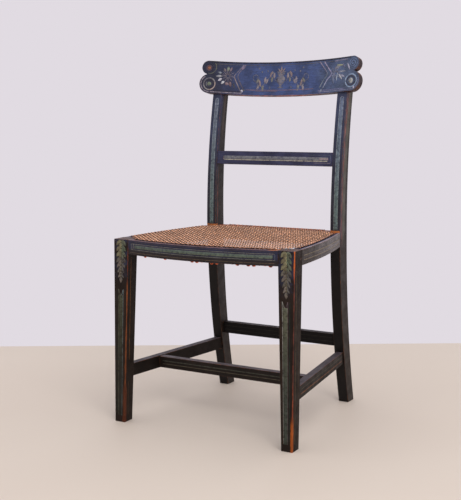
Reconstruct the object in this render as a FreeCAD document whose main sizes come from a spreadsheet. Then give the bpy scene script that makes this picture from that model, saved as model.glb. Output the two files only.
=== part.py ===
"""A stenciled, painted side chair with a caned seat.

The frame is +Z up, the sitter faces -Y, +X is to the right as one looks along +Y at the front.
The origin is on the floor under the middle of the whole chair. All sizes are in millimetres.
"""
import FreeCAD, Part
import Sketcher
import math
import os

Vector = FreeCAD.Vector

# Lengths that can be set by themselves
LENGTHS = {
    # seat and front legs
    "seat_height": 438.5,
    "front_width": 474.0,
    "leg_top_width": 41.0,
    "leg_top_depth": 38.0,
    "leg_foot_width": 27.5,
    "leg_foot_depth": 31.5,
    "leg_foot_advance": 11.0,
    # rear posts, places measured back from the front face of the legs
    "post_span": 378.4,
    "post_width": 26.0,
    "post_foot_back": 399.0,
    "post_foot_depth": 34.0,
    "post_seat_back": 340.0,
    "post_seat_depth": 42.0,
    "post_top_back": 378.4,
    "post_top_depth": 33.4,
    "post_leg_sweep": 12.8,
    "post_rake_sweep": 9.3,
    "post_lap_height": 13.0,
    # crest rail
    "crest_floor_height": 777.0,
    "crest_back": 388.0,
    "crest_half_width": 224.6,
    "crest_height": 84.5,
    "crest_thickness": 20.5,
    "crest_bow": 26.0,
    "crest_dish": 5.0,
    "crest_scroll_reach": 25.0,
    "crest_upper_inset": 3.6,
    "crest_upper_reach": 18.0,
    "crest_notch_depth": 19.5,
    "crest_notch_height": 49.4,
    "crest_lower_lobe": 22.2,
    "crest_upper_lobe": 16.2,
    # stay rail
    "stay_bottom": 599.0,
    "stay_height": 33.5,
    "stay_thickness": 17.0,
    "stay_setback": 1.2,
    # seat rails
    "rail_height": 34.5,
    "front_rail_bow": 26.0,
    "front_rail_width": 30.0,
    "side_rail_bow": 8.0,
    "side_rail_width": 24.0,
    "side_rail_inset": 1.0,
    "rear_rail_back": 350.0,
    "rear_rail_width": 29.0,
    # stretchers
    "stretcher_thickness": 18.7,
    "side_stretcher_bottom": 104.5,
    "side_stretcher_height": 30.5,
    "side_stretcher_inset": 15.6,
    "cross_stretcher_bottom": 105.5,
    "cross_stretcher_height": 28.0,
    "cross_stretcher_back": 125.4,
    "rear_stretcher_bottom": 148.0,
    "rear_stretcher_height": 30.0,
    "rear_stretcher_back": 375.0,
    # joints
    "tenon_thickness": 9.0,
    "tenon_shoulder": 5.0,
    "tenon_root": 12.0,
    "seat_tenon_length": 17.0,
    "stretcher_tenon_length": 14.0,
    "cross_tenon_length": 10.0,
    "stay_tenon_length": 15.0,
    "crest_tenon_width": 17.0,
    "crest_tenon_length": 30.0,
    "fit_clearance": 0.3,
    "arris_radius": 1.2,
    "arris_bevel": 0.8,
    "cut_overrun": 8.0,
    # pins
    "seat_pin_radius": 3.0,
    "leg_pin_length": 27.0,
    "post_pin_length": 21.0,
    "back_pin_radius": 2.5,
    "stay_pin_length": 30.0,
    "crest_pin_length": 15.0,
    "crest_pin_height": 23.0,
    "pin_proud": 0.3,
    # cane
    "cane_hole_radius": 2.3,
    "cane_hole_inset": 13.0,
    "cane_hole_pitch": 12.4,
    "cane_front_margin": 15.0,
    "cane_rear_margin": 28.0,
    "cane_cover": 3.0,
    "cane_thickness": 1.5,
    "cane_gap_pitch": 22.5,
    "cane_gap_radius": 7.2,
    "cane_gap_border": 12.0,
    "binder_width": 5.4,
    "binder_thickness": 1.0,
    "loop_width": 2.4,
    "loop_thickness": 0.7,
    "loop_sag": 1.3,
    "loop_leg": 6.0,
    "peg_radius": 1.9,
    "peg_length": 18.0,
}
# Angles in degrees, leaning back from upright
ANGLES = {
    "crest_rake_angle": 10.3,
    "stay_rake_angle": 6.5,
}

document = FreeCAD.newDocument("SideChair")
sheet = document.addObject("Spreadsheet::Sheet", "Sizes")
for row, (alias, number) in enumerate({**LENGTHS, **ANGLES}.items(), start=1):
    sheet.set("B%d" % row, str(number))
    sheet.setAlias("B%d" % row, alias)
    sheet.set("C%d" % row, alias.replace("_", " "))
document.recompute()


class Size:
    """A number together with the spreadsheet formula that gives it."""

    def __init__(self, value, formula=None):
        self.value = float(value)
        self.formula = repr(float(value)) if formula is None else formula

    def _joined(self, sign, other, value):
        return Size(value, "(%s %s %s)" % (self.formula, sign, other.formula))

    def __add__(self, other):
        other = as_size(other)
        return self._joined("+", other, self.value + other.value)

    def __sub__(self, other):
        other = as_size(other)
        return self._joined("-", other, self.value - other.value)

    def __mul__(self, other):
        other = as_size(other)
        return self._joined("*", other, self.value * other.value)

    def __truediv__(self, other):
        other = as_size(other)
        return self._joined("/", other, self.value / other.value)

    def __neg__(self):
        return Size(-self.value, "(-1 * %s)" % self.formula)

    def __rmul__(self, other):
        return self * other


def as_size(number):
    return number if isinstance(number, Size) else Size(number)


def root(size):
    return Size(math.sqrt(size.value), "sqrt(%s)" % size.formula)


def sine(angle):
    return Size(math.sin(math.radians(angle.value)), "sin(%s * 1 deg)" % angle.formula)


def cosine(angle):
    return Size(math.cos(math.radians(angle.value)), "cos(%s * 1 deg)" % angle.formula)


def slope_angle(rise, run):
    value = math.degrees(math.atan(rise.value / run.value))
    return Size(value, "(atan(%s / %s) / 1 deg)" % (rise.formula, run.formula))


def arc_radius(chord, bulge):
    """Radius of the arc that stands bulge away from a chord at its middle."""
    half = chord / 2
    return (half * half + bulge * bulge) / (2 * bulge)


class Names:
    """Gives each spreadsheet alias as a Size."""

    def __init__(self, values):
        for alias, number in values.items():
            setattr(self, alias, Size(number, "Sizes.%s" % alias))


S = Names({**LENGTHS, **ANGLES})
ZERO = Size(0)
# A point this near a flat face counts as on it
FLATNESS = 0.001
# The front face of the legs at seat level lies this far from the origin, in Y
FRONT_Y = (S.front_rail_bow - S.post_foot_back - S.post_foot_depth) / 2
POST_OUTER = S.post_span / 2
POST_INNER = POST_OUTER - S.post_width
RAIL_BOTTOM = S.seat_height - S.rail_height


class Frame:
    """A place in the chair: a base point, turned about Z or leaning back about X."""

    def __init__(self, x=ZERO, y=ZERO, z=ZERO, turn=None, lean=None):
        self.base = (x, y, z)
        self.turn = turn
        self.lean = lean

    def point(self, x, y, z):
        """A local point as three sizes in the chair's frame."""
        if self.turn is not None:
            across, along = sine(self.turn), cosine(self.turn)
            x, y = x * along - y * across, x * across + y * along
        if self.lean is not None:
            back, up = sine(self.lean), cosine(self.lean)
            y, z = y * up + z * back, z * up - y * back
        return tuple(base + local for base, local in zip(self.base, (x, y, z)))

    def vector(self, x, y, z):
        return Vector(*[size.value for size in self.point(as_size(x), as_size(y), as_size(z))])

    def place(self, obj, x=ZERO, y=ZERO, z=ZERO):
        """Puts an object's own origin at a local point, turned with the frame."""
        point = self.point(x, y, z)
        angle, axis = ZERO, Vector(0, 0, 1)
        if self.turn is not None:
            angle = self.turn
        if self.lean is not None:
            angle, axis = -self.lean, Vector(1, 0, 0)
        turned = FreeCAD.Rotation(axis, angle.value)
        obj.Placement = FreeCAD.Placement(Vector(*[size.value for size in point]), turned)
        for letter, size in zip("xyz", point):
            obj.setExpression("Placement.Base.%s" % letter, size.formula)
        if angle is not ZERO:
            obj.setExpression("Placement.Rotation.Angle", "%s * 1 deg" % angle.formula)


def attached_sketch(body, name, role, lift=None):
    """A sketch on one of the body's own origin planes, lifted along the plane's normal."""
    sketch = body.newObject("Sketcher::SketchObject", name)
    plane = next(item for item in body.Origin.OriginFeatures if item.Role == role)
    sketch.AttachmentSupport = [(plane, "")]
    sketch.MapMode = "FlatFace"
    if lift is not None:
        sketch.AttachmentOffset = FreeCAD.Placement(Vector(0, 0, lift.value), FreeCAD.Rotation())
        sketch.setExpression("AttachmentOffset.Base.z", lift.formula)
    return sketch


def bind(sketch, kind, size, *place):
    """Adds a dimension to the sketch and ties it to the sheet."""
    index = sketch.addConstraint(Sketcher.Constraint(kind, *place, size.value))
    sketch.setExpression("Constraints[%d]" % index, size.formula)


def draw_outline(sketch, corners, bulges=None):
    """Draws a closed outline through corners, given as pairs of sizes.

    bulges maps a side's number to how far that side stands out, as an arc, to the right of its travel.
    """
    bulges = bulges or {}
    sides = []
    for number, start in enumerate(corners):
        end = corners[(number + 1) % len(corners)]
        first = Vector(start[0].value, start[1].value, 0)
        last = Vector(end[0].value, end[1].value, 0)
        if number in bulges:
            travel = last - first
            outward = Vector(travel.y, -travel.x, 0).normalize()
            middle = (first + last) / 2 + outward * bulges[number].value
            sides.append(sketch.addGeometry(Part.Arc(first, middle, last), False))
        else:
            sides.append(sketch.addGeometry(Part.LineSegment(first, last), False))
    starts = []
    for number, side in enumerate(sides):
        here = Vector(corners[number][0].value, corners[number][1].value, 0)
        to_first = sketch.getPoint(side, 1).distanceToPoint(here)
        to_second = sketch.getPoint(side, 2).distanceToPoint(here)
        starts.append((1, 2) if to_first < to_second else (2, 1))
    for number, side in enumerate(sides):
        after = (number + 1) % len(sides)
        meeting = Sketcher.Constraint("Coincident", side, starts[number][1], sides[after], starts[after][0])
        sketch.addConstraint(meeting)
        bind(sketch, "DistanceX", corners[number][0], -1, 1, side, starts[number][0])
        bind(sketch, "DistanceY", corners[number][1], -1, 1, side, starts[number][0])
        if number in bulges:
            end = corners[after]
            chord = root((end[0] - corners[number][0]) * (end[0] - corners[number][0])
                         + (end[1] - corners[number][1]) * (end[1] - corners[number][1]))
            bulge = bulges[number] if bulges[number].value > 0 else -bulges[number]
            bind(sketch, "Radius", arc_radius(chord, bulge), side)


def pad(body, sketch, length):
    feature = body.newObject("PartDesign::Pad", body.Label + "_pad")
    feature.Profile = sketch
    feature.Length = length.value
    feature.setExpression("Length", length.formula)
    return feature


def long_edges(feature, least):
    document.recompute()
    edges = enumerate(feature.Shape.Edges, start=1)
    return ["Edge%d" % number for number, edge in edges if edge.Length > least.value]


def round_long_edges(body, feature, least):
    """Rounds the arrises of a straight member that are longer than least."""
    fillet = body.newObject("PartDesign::Fillet", body.Label + "_arrises")
    fillet.Base = (feature, long_edges(feature, least))
    fillet.Radius = S.arris_radius.value
    fillet.setExpression("Radius", S.arris_radius.formula)
    return fillet


def bevel_long_edges(body, feature, least):
    """Bevels the arrises of a bowed member that are longer than least."""
    bevel = body.newObject("PartDesign::Chamfer", body.Label + "_arrises")
    bevel.Base = (feature, long_edges(feature, least))
    bevel.Size = S.arris_bevel.value
    bevel.setExpression("Size", S.arris_bevel.formula)
    return bevel


def new_body(name):
    body = document.addObject("PartDesign::Body", name)
    body.Label = name
    return body


def box(name, frame, near, far):
    """A box between two local corners of a frame."""
    solid = document.addObject("Part::Box", name)
    for side, low, high in zip(("Length", "Width", "Height"), near, far):
        setattr(solid, side, (high - low).value)
        solid.setExpression(side, (high - low).formula)
    frame.place(solid, *near)
    return solid


def joint(name, frame, near, far, blind):
    """A tenon and the mortise that takes it.

    blind holds -1, 0 or 1 for each axis: the way the tenon points. The mortise is wider than the
    tenon by the fit clearance all round, and deeper by the same at its blind end.
    """
    tenon = box(name + "_tenon", frame, near, far)
    low = []
    high = []
    for way, start, end in zip(blind, near, far):
        low.append(start if way > 0 else start - S.fit_clearance)
        high.append(end if way < 0 else end + S.fit_clearance)
    return tenon, box(name + "_mortise", frame, low, high)


def joined(kind, name, shapes):
    result = document.addObject(kind, name)
    result.Shapes = shapes
    return result


def cut(name, base, tools):
    result = document.addObject("Part::Cut", name)
    result.Base = base
    result.Tool = tools[0] if len(tools) == 1 else joined("Part::MultiFuse", name + "_tools", tools)
    return result


def mirrored(name, source):
    """The left-hand copy of a right-hand piece."""
    copy = document.addObject("Part::Mirroring", name)
    copy.Source = source
    copy.Base = Vector(0, 0, 0)
    copy.Normal = Vector(1, 0, 0)
    return copy


def fused(name, base, tenons):
    return joined("Part::MultiFuse", name, [base] + tenons)


def rod(name, frame, start, radius, length, axis):
    """A round pin from a local point along a direction of the frame."""
    pin = document.addObject("Part::Cylinder", name)
    pin.Radius = radius.value
    pin.Height = length.value
    pin.setExpression("Radius", radius.formula)
    pin.setExpression("Height", length.formula)
    point = frame.point(*start)
    base = Vector(*[size.value for size in point])
    pin.Placement = FreeCAD.Placement(base, FreeCAD.Rotation(Vector(0, 0, 1), axis))
    for letter, size in zip("xyz", point):
        pin.setExpression("Placement.Base.%s" % letter, size.formula)
    return pin


# Front legs: square, tapered on the inner and back faces, leaning a little forward to the foot

def leg_side(share):
    """Inner and outer X, front and back Y of the right leg at a share of the seat height."""
    outer = S.front_width / 2
    width = S.leg_foot_width + (S.leg_top_width - S.leg_foot_width) * share
    depth = S.leg_foot_depth + (S.leg_top_depth - S.leg_foot_depth) * share
    front = FRONT_Y - S.leg_foot_advance * (Size(1) - share)
    return outer - width, outer, front, front + depth


def leg_stock(name, wide=False):
    """The tapered stick, as a wedge drawn lying down: its Y runs up the leg and its Z forward.

    The wide one reaches across the chair, so that it trims whatever meets the leg's back face.
    """
    body = new_body(name)
    taper = body.newObject("PartDesign::AdditiveWedge", name + "_taper")
    foot_inner, outer, foot_front, foot_back = leg_side(ZERO)
    top_inner, _, top_front, top_back = leg_side(Size(1))
    if wide:
        foot_inner, top_inner, outer = ZERO, ZERO, S.front_width
    sizes = {
        "Xmin": foot_inner, "Xmax": outer, "Zmin": -foot_back, "Zmax": -foot_front,
        "X2min": top_inner, "X2max": outer, "Z2min": -top_back, "Z2max": -top_front,
        "Ymin": ZERO, "Ymax": S.seat_height}
    for side, size in sizes.items():
        setattr(taper, side, size.value)
    for side, size in sizes.items():
        taper.setExpression(side, size.formula)
    body.Placement = FreeCAD.Placement(Vector(0, 0, 0), FreeCAD.Rotation(Vector(1, 0, 0), 90))
    return body, taper


front_leg_stock, _ = leg_stock("front_leg_stock")
front_leg_stock_left = mirrored("front_leg_stock_left", front_leg_stock)
front_leg_trim, _ = leg_stock("front_leg_trim", wide=True)
front_leg_rounded, front_leg_taper = leg_stock("front_leg_rounded")
round_long_edges(front_leg_rounded, front_leg_taper, S.seat_height / 2)

# Rear posts: a swept leg below the seat and a raked post above it, sawn from one plank


def post_front(height):
    """Y of the post's front face at a height below the seat."""
    share = height / S.seat_height
    chord = S.post_foot_back + (S.post_seat_back - S.post_foot_back) * share
    return FRONT_Y + chord - S.post_leg_sweep * 4 * share * (Size(1) - share)


def raked_edge(height, seat_edge, top_edge):
    """Y of the post's front or back face at a height above the seat."""
    share = (height - S.seat_height) / (S.crest_floor_height - S.seat_height)
    chord = seat_edge + (top_edge - seat_edge) * share
    return FRONT_Y + chord - S.post_rake_sweep * 4 * share * (Size(1) - share)


def post_stock(name, wide=False):
    """The plank that a post is sawn from. The wide one trims whatever meets the post's front face."""
    body = new_body(name)
    start, width = (ZERO, S.front_width) if wide else (POST_INNER, S.post_width)
    profile = attached_sketch(body, name + "_profile", "YZ_Plane", start)
    top = S.crest_floor_height
    lap = top + S.post_lap_height
    shoulder_back = S.crest_back + S.crest_thickness / 2 - CREST_POST_BOW
    corners = [
        (FRONT_Y + S.post_foot_back, ZERO),
        (FRONT_Y + S.post_foot_back + S.post_foot_depth, ZERO),
        (FRONT_Y + S.post_seat_back + S.post_seat_depth, S.seat_height),
        (FRONT_Y + S.post_top_back + S.post_top_depth, top),
        (FRONT_Y + shoulder_back, lap),
        (FRONT_Y + S.post_top_back, top + S.tenon_shoulder),
        (FRONT_Y + S.post_seat_back, S.seat_height),
    ]
    bulges = {
        1: -S.post_leg_sweep,
        2: -S.post_rake_sweep,
        5: S.post_rake_sweep,
        6: S.post_leg_sweep,
    }
    draw_outline(profile, corners, bulges)
    return body, pad(body, profile, width)


# Plan curve of the crest: it stands this far ahead of its middle where the posts meet it
CREST_POST_X = POST_OUTER - S.post_width / 2
CREST_RADIUS = arc_radius(S.crest_half_width * 2, S.crest_bow)
CREST_POST_BOW = CREST_RADIUS - root(CREST_RADIUS * CREST_RADIUS - CREST_POST_X * CREST_POST_X)

rear_post_stock, _ = post_stock("rear_post_stock")
rear_post_stock_left = mirrored("rear_post_stock_left", rear_post_stock)
rear_post_trim, _ = post_stock("rear_post_trim", wide=True)
rear_post_beveled, rear_post_sawn = post_stock("rear_post_beveled")
bevel_long_edges(rear_post_beveled, rear_post_sawn, S.seat_height / 2)

# Crest rail: a curved, raked board with its ends sawn to a double-lobed scroll

crest_frame = Frame(ZERO, FRONT_Y + S.crest_back, S.crest_floor_height, lean=S.crest_rake_angle)


def crest_board():
    """The curved board that the crest is sawn from, wider and taller than the crest."""
    body = new_body("crest_board")
    half = S.crest_half_width + S.cut_overrun
    front = CREST_RADIUS - root(CREST_RADIUS * CREST_RADIUS - half * half)
    back_radius = CREST_RADIUS + S.crest_thickness
    back = back_radius - root(back_radius * back_radius - half * half)
    plan = attached_sketch(body, "crest_board_plan", "XY_Plane", -S.crest_dish - S.cut_overrun)
    far = S.crest_thickness - back
    draw_outline(plan, [(-half, -front), (half, -front), (half, far), (-half, far)], {0: -front, 2: back})
    pad(body, plan, S.crest_height + S.crest_dish + S.cut_overrun * 2)
    crest_frame.place(body)
    return body


def crest_face():
    """The crest's outline seen from the front, as a thick slab."""
    body = new_body("crest_face")
    drawing = attached_sketch(body, "crest_face_drawing", "XZ_Plane", -S.crest_thickness - S.cut_overrun)
    low_x = S.crest_half_width - S.crest_scroll_reach
    notch_x = S.crest_half_width - S.crest_notch_depth
    high_x = S.crest_half_width - S.crest_upper_inset - S.crest_upper_reach
    corners = [
        (-low_x, ZERO),
        (low_x, ZERO),
        (notch_x, S.crest_notch_height),
        (high_x, S.crest_height),
        (-high_x, S.crest_height),
        (-notch_x, S.crest_notch_height),
    ]
    bulges = {
        0: S.crest_dish,
        1: S.crest_lower_lobe,
        2: S.crest_upper_lobe,
        3: -S.crest_dish,
        4: S.crest_upper_lobe,
        5: S.crest_lower_lobe,
    }
    draw_outline(drawing, corners, bulges)
    pad(body, drawing, S.crest_thickness + S.crest_bow + S.cut_overrun * 3)
    crest_frame.place(body)
    return body


crest_blank = document.addObject("Part::Common", "crest_blank")
crest_blank.Base = crest_board()
crest_blank.Tool = crest_face()

crest_tenon_front = (S.crest_thickness - S.tenon_thickness) / 2 - CREST_POST_BOW
crest_tenon_inner = CREST_POST_X - S.crest_tenon_width / 2
crest_tenon, crest_mortise = joint(
    "crest", crest_frame, (crest_tenon_inner, crest_tenon_front, -S.tenon_root),
    (crest_tenon_inner + S.crest_tenon_width, crest_tenon_front + S.tenon_thickness, S.crest_tenon_length),
    (0, 0, 1))

# Seat rails. Each is drawn in a frame of its own: X runs along its outer edge, Y points out of the chair


class BowedRail:
    """A seat rail whose outer and inner edges bow outward, bored with a line of cane holes."""

    def __init__(self, name, frame, length, bow, width, margins):
        self.name = name
        self.margins = margins
        self.frame = frame
        self.length = length
        self.bow = bow
        self.width = width
        self.radius = None if bow is None else arc_radius(length, bow)

    def edge(self, along):
        """How far the outer edge stands out at a place along the rail."""
        if self.bow is None:
            return ZERO
        aside = along - self.length / 2
        return root(self.radius * self.radius - aside * aside) - (self.radius - self.bow)

    def strip(self, first, last, outer_inset, inner_inset):
        """Corners and bulges of a strip that follows the rail's edge."""
        start, end = self.edge(first), self.edge(last)
        corners = [(first, start - inner_inset), (last, end - inner_inset),
                   (last, end - outer_inset), (first, start - outer_inset)]
        if self.bow is None:
            return corners, {}
        rise = self.edge(self.length / 2) - start
        return corners, {0: -rise, 2: rise}

    def stations(self):
        """Places along the rail of the cane holes, evenly spaced."""
        run = self.length - self.margins[0] - self.margins[1]
        count = max(2, round(run.value / S.cane_hole_pitch.value))
        return [self.margins[0] + run * (number / count) for number in range(count + 1)]

    def stock(self):
        body = new_body(self.name + "_stock")
        plan = attached_sketch(body, self.name + "_plan", "XY_Plane")
        ends = (-S.cut_overrun, self.length + S.cut_overrun)
        draw_outline(plan, *self.strip(ends[0], ends[1], ZERO, self.width))
        sawn = pad(body, plan, S.rail_height)
        beveled = bevel_long_edges(body, sawn, self.length / 2)
        document.recompute()
        whole = beveled.Shape.Volume
        bores = attached_sketch(body, self.name + "_bores", "XY_Plane")
        for along in self.stations():
            inset = self.edge(along) - S.cane_hole_inset
            centre = Vector(along.value, inset.value, 0)
            circle = bores.addGeometry(Part.Circle(centre, Vector(0, 0, 1), S.cane_hole_radius.value), False)
            bind(bores, "DistanceX", along, -1, 1, circle, 3)
            bind(bores, "DistanceY", inset, -1, 1, circle, 3)
            bind(bores, "Radius", S.cane_hole_radius, circle)
        bored = body.newObject("PartDesign::Pocket", self.name + "_holes")
        bored.Profile = bores
        bored.Type = "ThroughAll"
        bored.Reversed = True
        document.recompute()
        if not bored.Shape.Volume < whole:
            raise RuntimeError("the cane holes cut nothing in " + self.name)
        self.frame.place(body)
        return body

    def end_tenon(self, label, at_start, sink):
        """Tenon and mortise at one end; sink is how far the tenon passes the end of the rail."""
        middle = -self.width / 2
        low_y, high_y = middle - S.tenon_thickness / 2, middle + S.tenon_thickness / 2
        low_z, high_z = S.tenon_shoulder, S.rail_height - S.tenon_shoulder * 2
        low_x, high_x, way = self.length - S.tenon_root, self.length + sink, 1
        if at_start:
            low_x, high_x, way = -sink, S.tenon_root, -1
        near, far = (low_x, low_y, low_z), (high_x, high_y, high_z)
        return joint(self.name + "_" + label, self.frame, near, far, (way, 0, 0))


leg_inner = S.front_width / 2 - S.leg_top_width
front_rail_shape = BowedRail(
    "front_rail", Frame(leg_inner, FRONT_Y, RAIL_BOTTOM, turn=Size(180)), leg_inner * 2, S.front_rail_bow,
    S.front_rail_width, (S.cane_front_margin, S.cane_front_margin))

side_run = S.post_seat_back - S.leg_top_depth
side_inward = S.front_width / 2 - S.side_rail_inset - POST_OUTER
side_turn = slope_angle(side_inward, side_run) - 90
side_rail_shape = BowedRail(
    "side_rail", Frame(POST_OUTER, FRONT_Y + S.post_seat_back, RAIL_BOTTOM, turn=side_turn),
    root(side_run * side_run + side_inward * side_inward), S.side_rail_bow, S.side_rail_width,
    (S.cane_rear_margin, S.cane_front_margin))

rear_rail_frame_y = FRONT_Y + S.rear_rail_back + S.rear_rail_width
rear_rail_shape = BowedRail(
    "rear_rail", Frame(-POST_INNER, rear_rail_frame_y, RAIL_BOTTOM), POST_INNER * 2, None, S.rear_rail_width,
    (S.cane_rear_margin, S.cane_rear_margin))

front_rail_right_tenon, front_rail_mortise = front_rail_shape.end_tenon("right", True, S.seat_tenon_length)
front_rail_left_tenon, _ = front_rail_shape.end_tenon("left", False, S.seat_tenon_length)
side_rear_tenon, side_rear_mortise = side_rail_shape.end_tenon("rear", True, S.seat_tenon_length)
side_front_tenon, side_front_mortise = side_rail_shape.end_tenon("front", False, S.seat_tenon_length)
rear_rail_left_tenon, _ = rear_rail_shape.end_tenon("left", True, S.stay_tenon_length)
rear_rail_right_tenon, rear_rail_mortise = rear_rail_shape.end_tenon("right", False, S.stay_tenon_length)

# Stretchers and stay rail: straight sticks, each with a stub tenon at its ends


class Stick:
    """A straight rectangular member along X of its frame, from start to end."""

    def __init__(self, name, frame, start, end, thickness, height):
        self.name = name
        self.frame = frame
        self.start = start
        self.end = end
        self.thickness = thickness
        self.height = height

    def stock(self):
        body = new_body(self.name + "_stock")
        section = attached_sketch(body, self.name + "_section", "YZ_Plane", self.start)
        draw_outline(section, [(ZERO, ZERO), (self.thickness, ZERO),
                               (self.thickness, self.height), (ZERO, self.height)])
        sawn = pad(body, section, self.end - self.start)
        round_long_edges(body, sawn, (self.end - self.start) / 2)
        self.frame.place(body)
        return body

    def tenon(self, label, inner, outer):
        """Tenon from a place inside the stick to its blind end."""
        middle = self.thickness / 2
        low = (middle - S.tenon_thickness / 2, S.tenon_shoulder)
        high = (middle + S.tenon_thickness / 2, self.height - S.tenon_shoulder)
        if outer.value > inner.value:
            return joint(self.name + "_" + label, self.frame, (inner,) + low, (outer,) + high, (1, 0, 0))
        return joint(self.name + "_" + label, self.frame, (outer,) + low, (inner,) + high, (-1, 0, 0))


side_middle_share = (S.side_stretcher_bottom + S.side_stretcher_height / 2) / S.seat_height
leg_back_y = leg_side(side_middle_share)[3]
post_front_y = post_front(S.side_stretcher_bottom + S.side_stretcher_height / 2)
stretcher_front_x = S.front_width / 2 - S.side_stretcher_inset
stretcher_run = post_front_y - leg_back_y
stretcher_inward = stretcher_front_x - CREST_POST_X
stretcher_turn = slope_angle(stretcher_inward, stretcher_run) - 90
stretcher_length = root(stretcher_run * stretcher_run + stretcher_inward * stretcher_inward)
half_stretcher = S.stretcher_thickness / 2
side_stretcher_frame = Frame(
    CREST_POST_X - half_stretcher * cosine(stretcher_turn + 90),
    post_front_y - half_stretcher * sine(stretcher_turn + 90), S.side_stretcher_bottom, turn=stretcher_turn)
side_stretcher_shape = Stick(
    "side_stretcher", side_stretcher_frame, -S.cut_overrun, stretcher_length + S.cut_overrun,
    S.stretcher_thickness, S.side_stretcher_height)
side_stretcher_rear_tenon, side_stretcher_rear_mortise = side_stretcher_shape.tenon(
    "rear", S.tenon_root, -S.stretcher_tenon_length)
side_stretcher_front_tenon, side_stretcher_front_mortise = side_stretcher_shape.tenon(
    "front", stretcher_length - S.tenon_root, stretcher_length + S.stretcher_tenon_length)

cross_middle_y = FRONT_Y + S.cross_stretcher_back + half_stretcher
cross_share = (cross_middle_y - leg_back_y) / stretcher_run
cross_meets_x = stretcher_front_x - stretcher_inward * cross_share
cross_face_x = cross_meets_x - half_stretcher
cross_stretcher_shape = Stick(
    "cross_stretcher", Frame(ZERO, FRONT_Y + S.cross_stretcher_back, S.cross_stretcher_bottom),
    -cross_meets_x, cross_meets_x, S.stretcher_thickness, S.cross_stretcher_height)
cross_right_tenon, cross_right_mortise = cross_stretcher_shape.tenon(
    "right", cross_face_x - S.tenon_root, cross_face_x + S.cross_tenon_length)
cross_left_tenon, _ = cross_stretcher_shape.tenon(
    "left", S.tenon_root - cross_face_x, -cross_face_x - S.cross_tenon_length)

rear_stretcher_shape = Stick(
    "rear_stretcher", Frame(ZERO, FRONT_Y + S.rear_stretcher_back, S.rear_stretcher_bottom),
    -POST_INNER, POST_INNER, S.stretcher_thickness, S.rear_stretcher_height)
rear_stretcher_right_tenon, rear_stretcher_right_mortise = rear_stretcher_shape.tenon(
    "right", POST_INNER - S.tenon_root, POST_INNER + S.stay_tenon_length)
rear_stretcher_left_tenon, _ = rear_stretcher_shape.tenon(
    "left", S.tenon_root - POST_INNER, -POST_INNER - S.stay_tenon_length)

stay_middle_z = S.stay_bottom + S.stay_height / 2
stay_front_y = raked_edge(S.stay_bottom, S.post_seat_back, S.post_top_back) + S.stay_setback
stay_rail_shape = Stick(
    "stay_rail", Frame(ZERO, stay_front_y, S.stay_bottom, lean=S.stay_rake_angle),
    -POST_INNER, POST_INNER, S.stay_thickness, S.stay_height)
stay_right_tenon, stay_right_mortise = stay_rail_shape.tenon(
    "right", POST_INNER - S.tenon_root, POST_INNER + S.stay_tenon_length)
stay_left_tenon, _ = stay_rail_shape.tenon(
    "left", S.tenon_root - POST_INNER, -POST_INNER - S.stay_tenon_length)

# Pins: round pegs through the tenons of the side rails, the stay rail and the crest

chair_frame = Frame()
seat_pin_height = RAIL_BOTTOM + (S.rail_height - S.tenon_shoulder) / 2
stay_post_back_y = raked_edge(
    stay_middle_z, S.post_seat_back + S.post_seat_depth, S.post_top_back + S.post_top_depth)


def pin_and_hole(name, start, radius, length, axis, frame=chair_frame):
    """A pin, and a hole for it that is wider by the fit clearance all round and open at its start."""
    pin = rod(name, frame, start, radius, length, axis)
    hole = rod(name + "_hole", frame, start, radius + S.fit_clearance, length + S.fit_clearance, axis)
    return pin, hole


leg_pin, leg_pin_hole = pin_and_hole(
    "leg_pin", (S.front_width / 2, FRONT_Y + S.leg_top_depth - S.seat_tenon_length / 2, seat_pin_height),
    S.seat_pin_radius, S.leg_pin_length, Vector(-1, 0, 0))
post_pin, post_pin_hole = pin_and_hole(
    "post_pin", (POST_OUTER, FRONT_Y + S.post_seat_back + S.seat_tenon_length / 2, seat_pin_height),
    S.seat_pin_radius, S.post_pin_length, Vector(-1, 0, 0))
stay_pin, stay_pin_hole = pin_and_hole(
    "stay_pin", (POST_INNER + S.stay_tenon_length / 2, stay_post_back_y + S.pin_proud, stay_middle_z),
    S.back_pin_radius, S.stay_pin_length, Vector(0, -1, 0))
rake = math.radians(S.crest_rake_angle.value)
crest_pin, crest_pin_hole = pin_and_hole(
    "crest_pin", (CREST_POST_X, S.crest_thickness - CREST_POST_BOW + S.pin_proud, S.crest_pin_height),
    S.back_pin_radius, S.crest_pin_length, Vector(0, -math.cos(rake), math.sin(rake)), crest_frame)


def grouped(name, pieces):
    group = document.addObject("Part::Compound", name)
    group.Links = pieces
    return group


def both_sides(pieces):
    return pieces + [mirrored(piece.Name + "_left", piece) for piece in pieces]


seat_rail_pins = grouped("seat_rail_pins", both_sides([leg_pin, post_pin]))
stay_rail_pins = grouped("stay_rail_pins", both_sides([stay_pin]))
crest_pins = grouped("crest_pins", both_sides([crest_pin]))

# The wooden members, each cut to its neighbours and mortised

front_leg_right = cut("front_leg_right", front_leg_rounded, [
    front_rail_mortise, side_front_mortise, side_stretcher_front_mortise, leg_pin_hole])
front_leg_left = mirrored("front_leg_left", front_leg_right)

post_shouldered = cut("post_shouldered", rear_post_beveled, [crest_blank])
post_tenoned = fused("post_tenoned", post_shouldered, [crest_tenon])
rear_post_right = cut("rear_post_right", post_tenoned, [
    side_rear_mortise, rear_rail_mortise, side_stretcher_rear_mortise,
    rear_stretcher_right_mortise, stay_right_mortise, post_pin_hole, stay_pin_hole, crest_pin_hole])
rear_post_left = mirrored("rear_post_left", rear_post_right)

crest_rail = cut("crest_rail", crest_blank, both_sides([crest_mortise, crest_pin_hole]))


def fitted(name, stock, neighbours, tenons):
    """A member with its shoulders cut to the neighbours' faces, and its tenons."""
    return fused(name, cut(name + "_shouldered", stock, neighbours), tenons)


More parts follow.
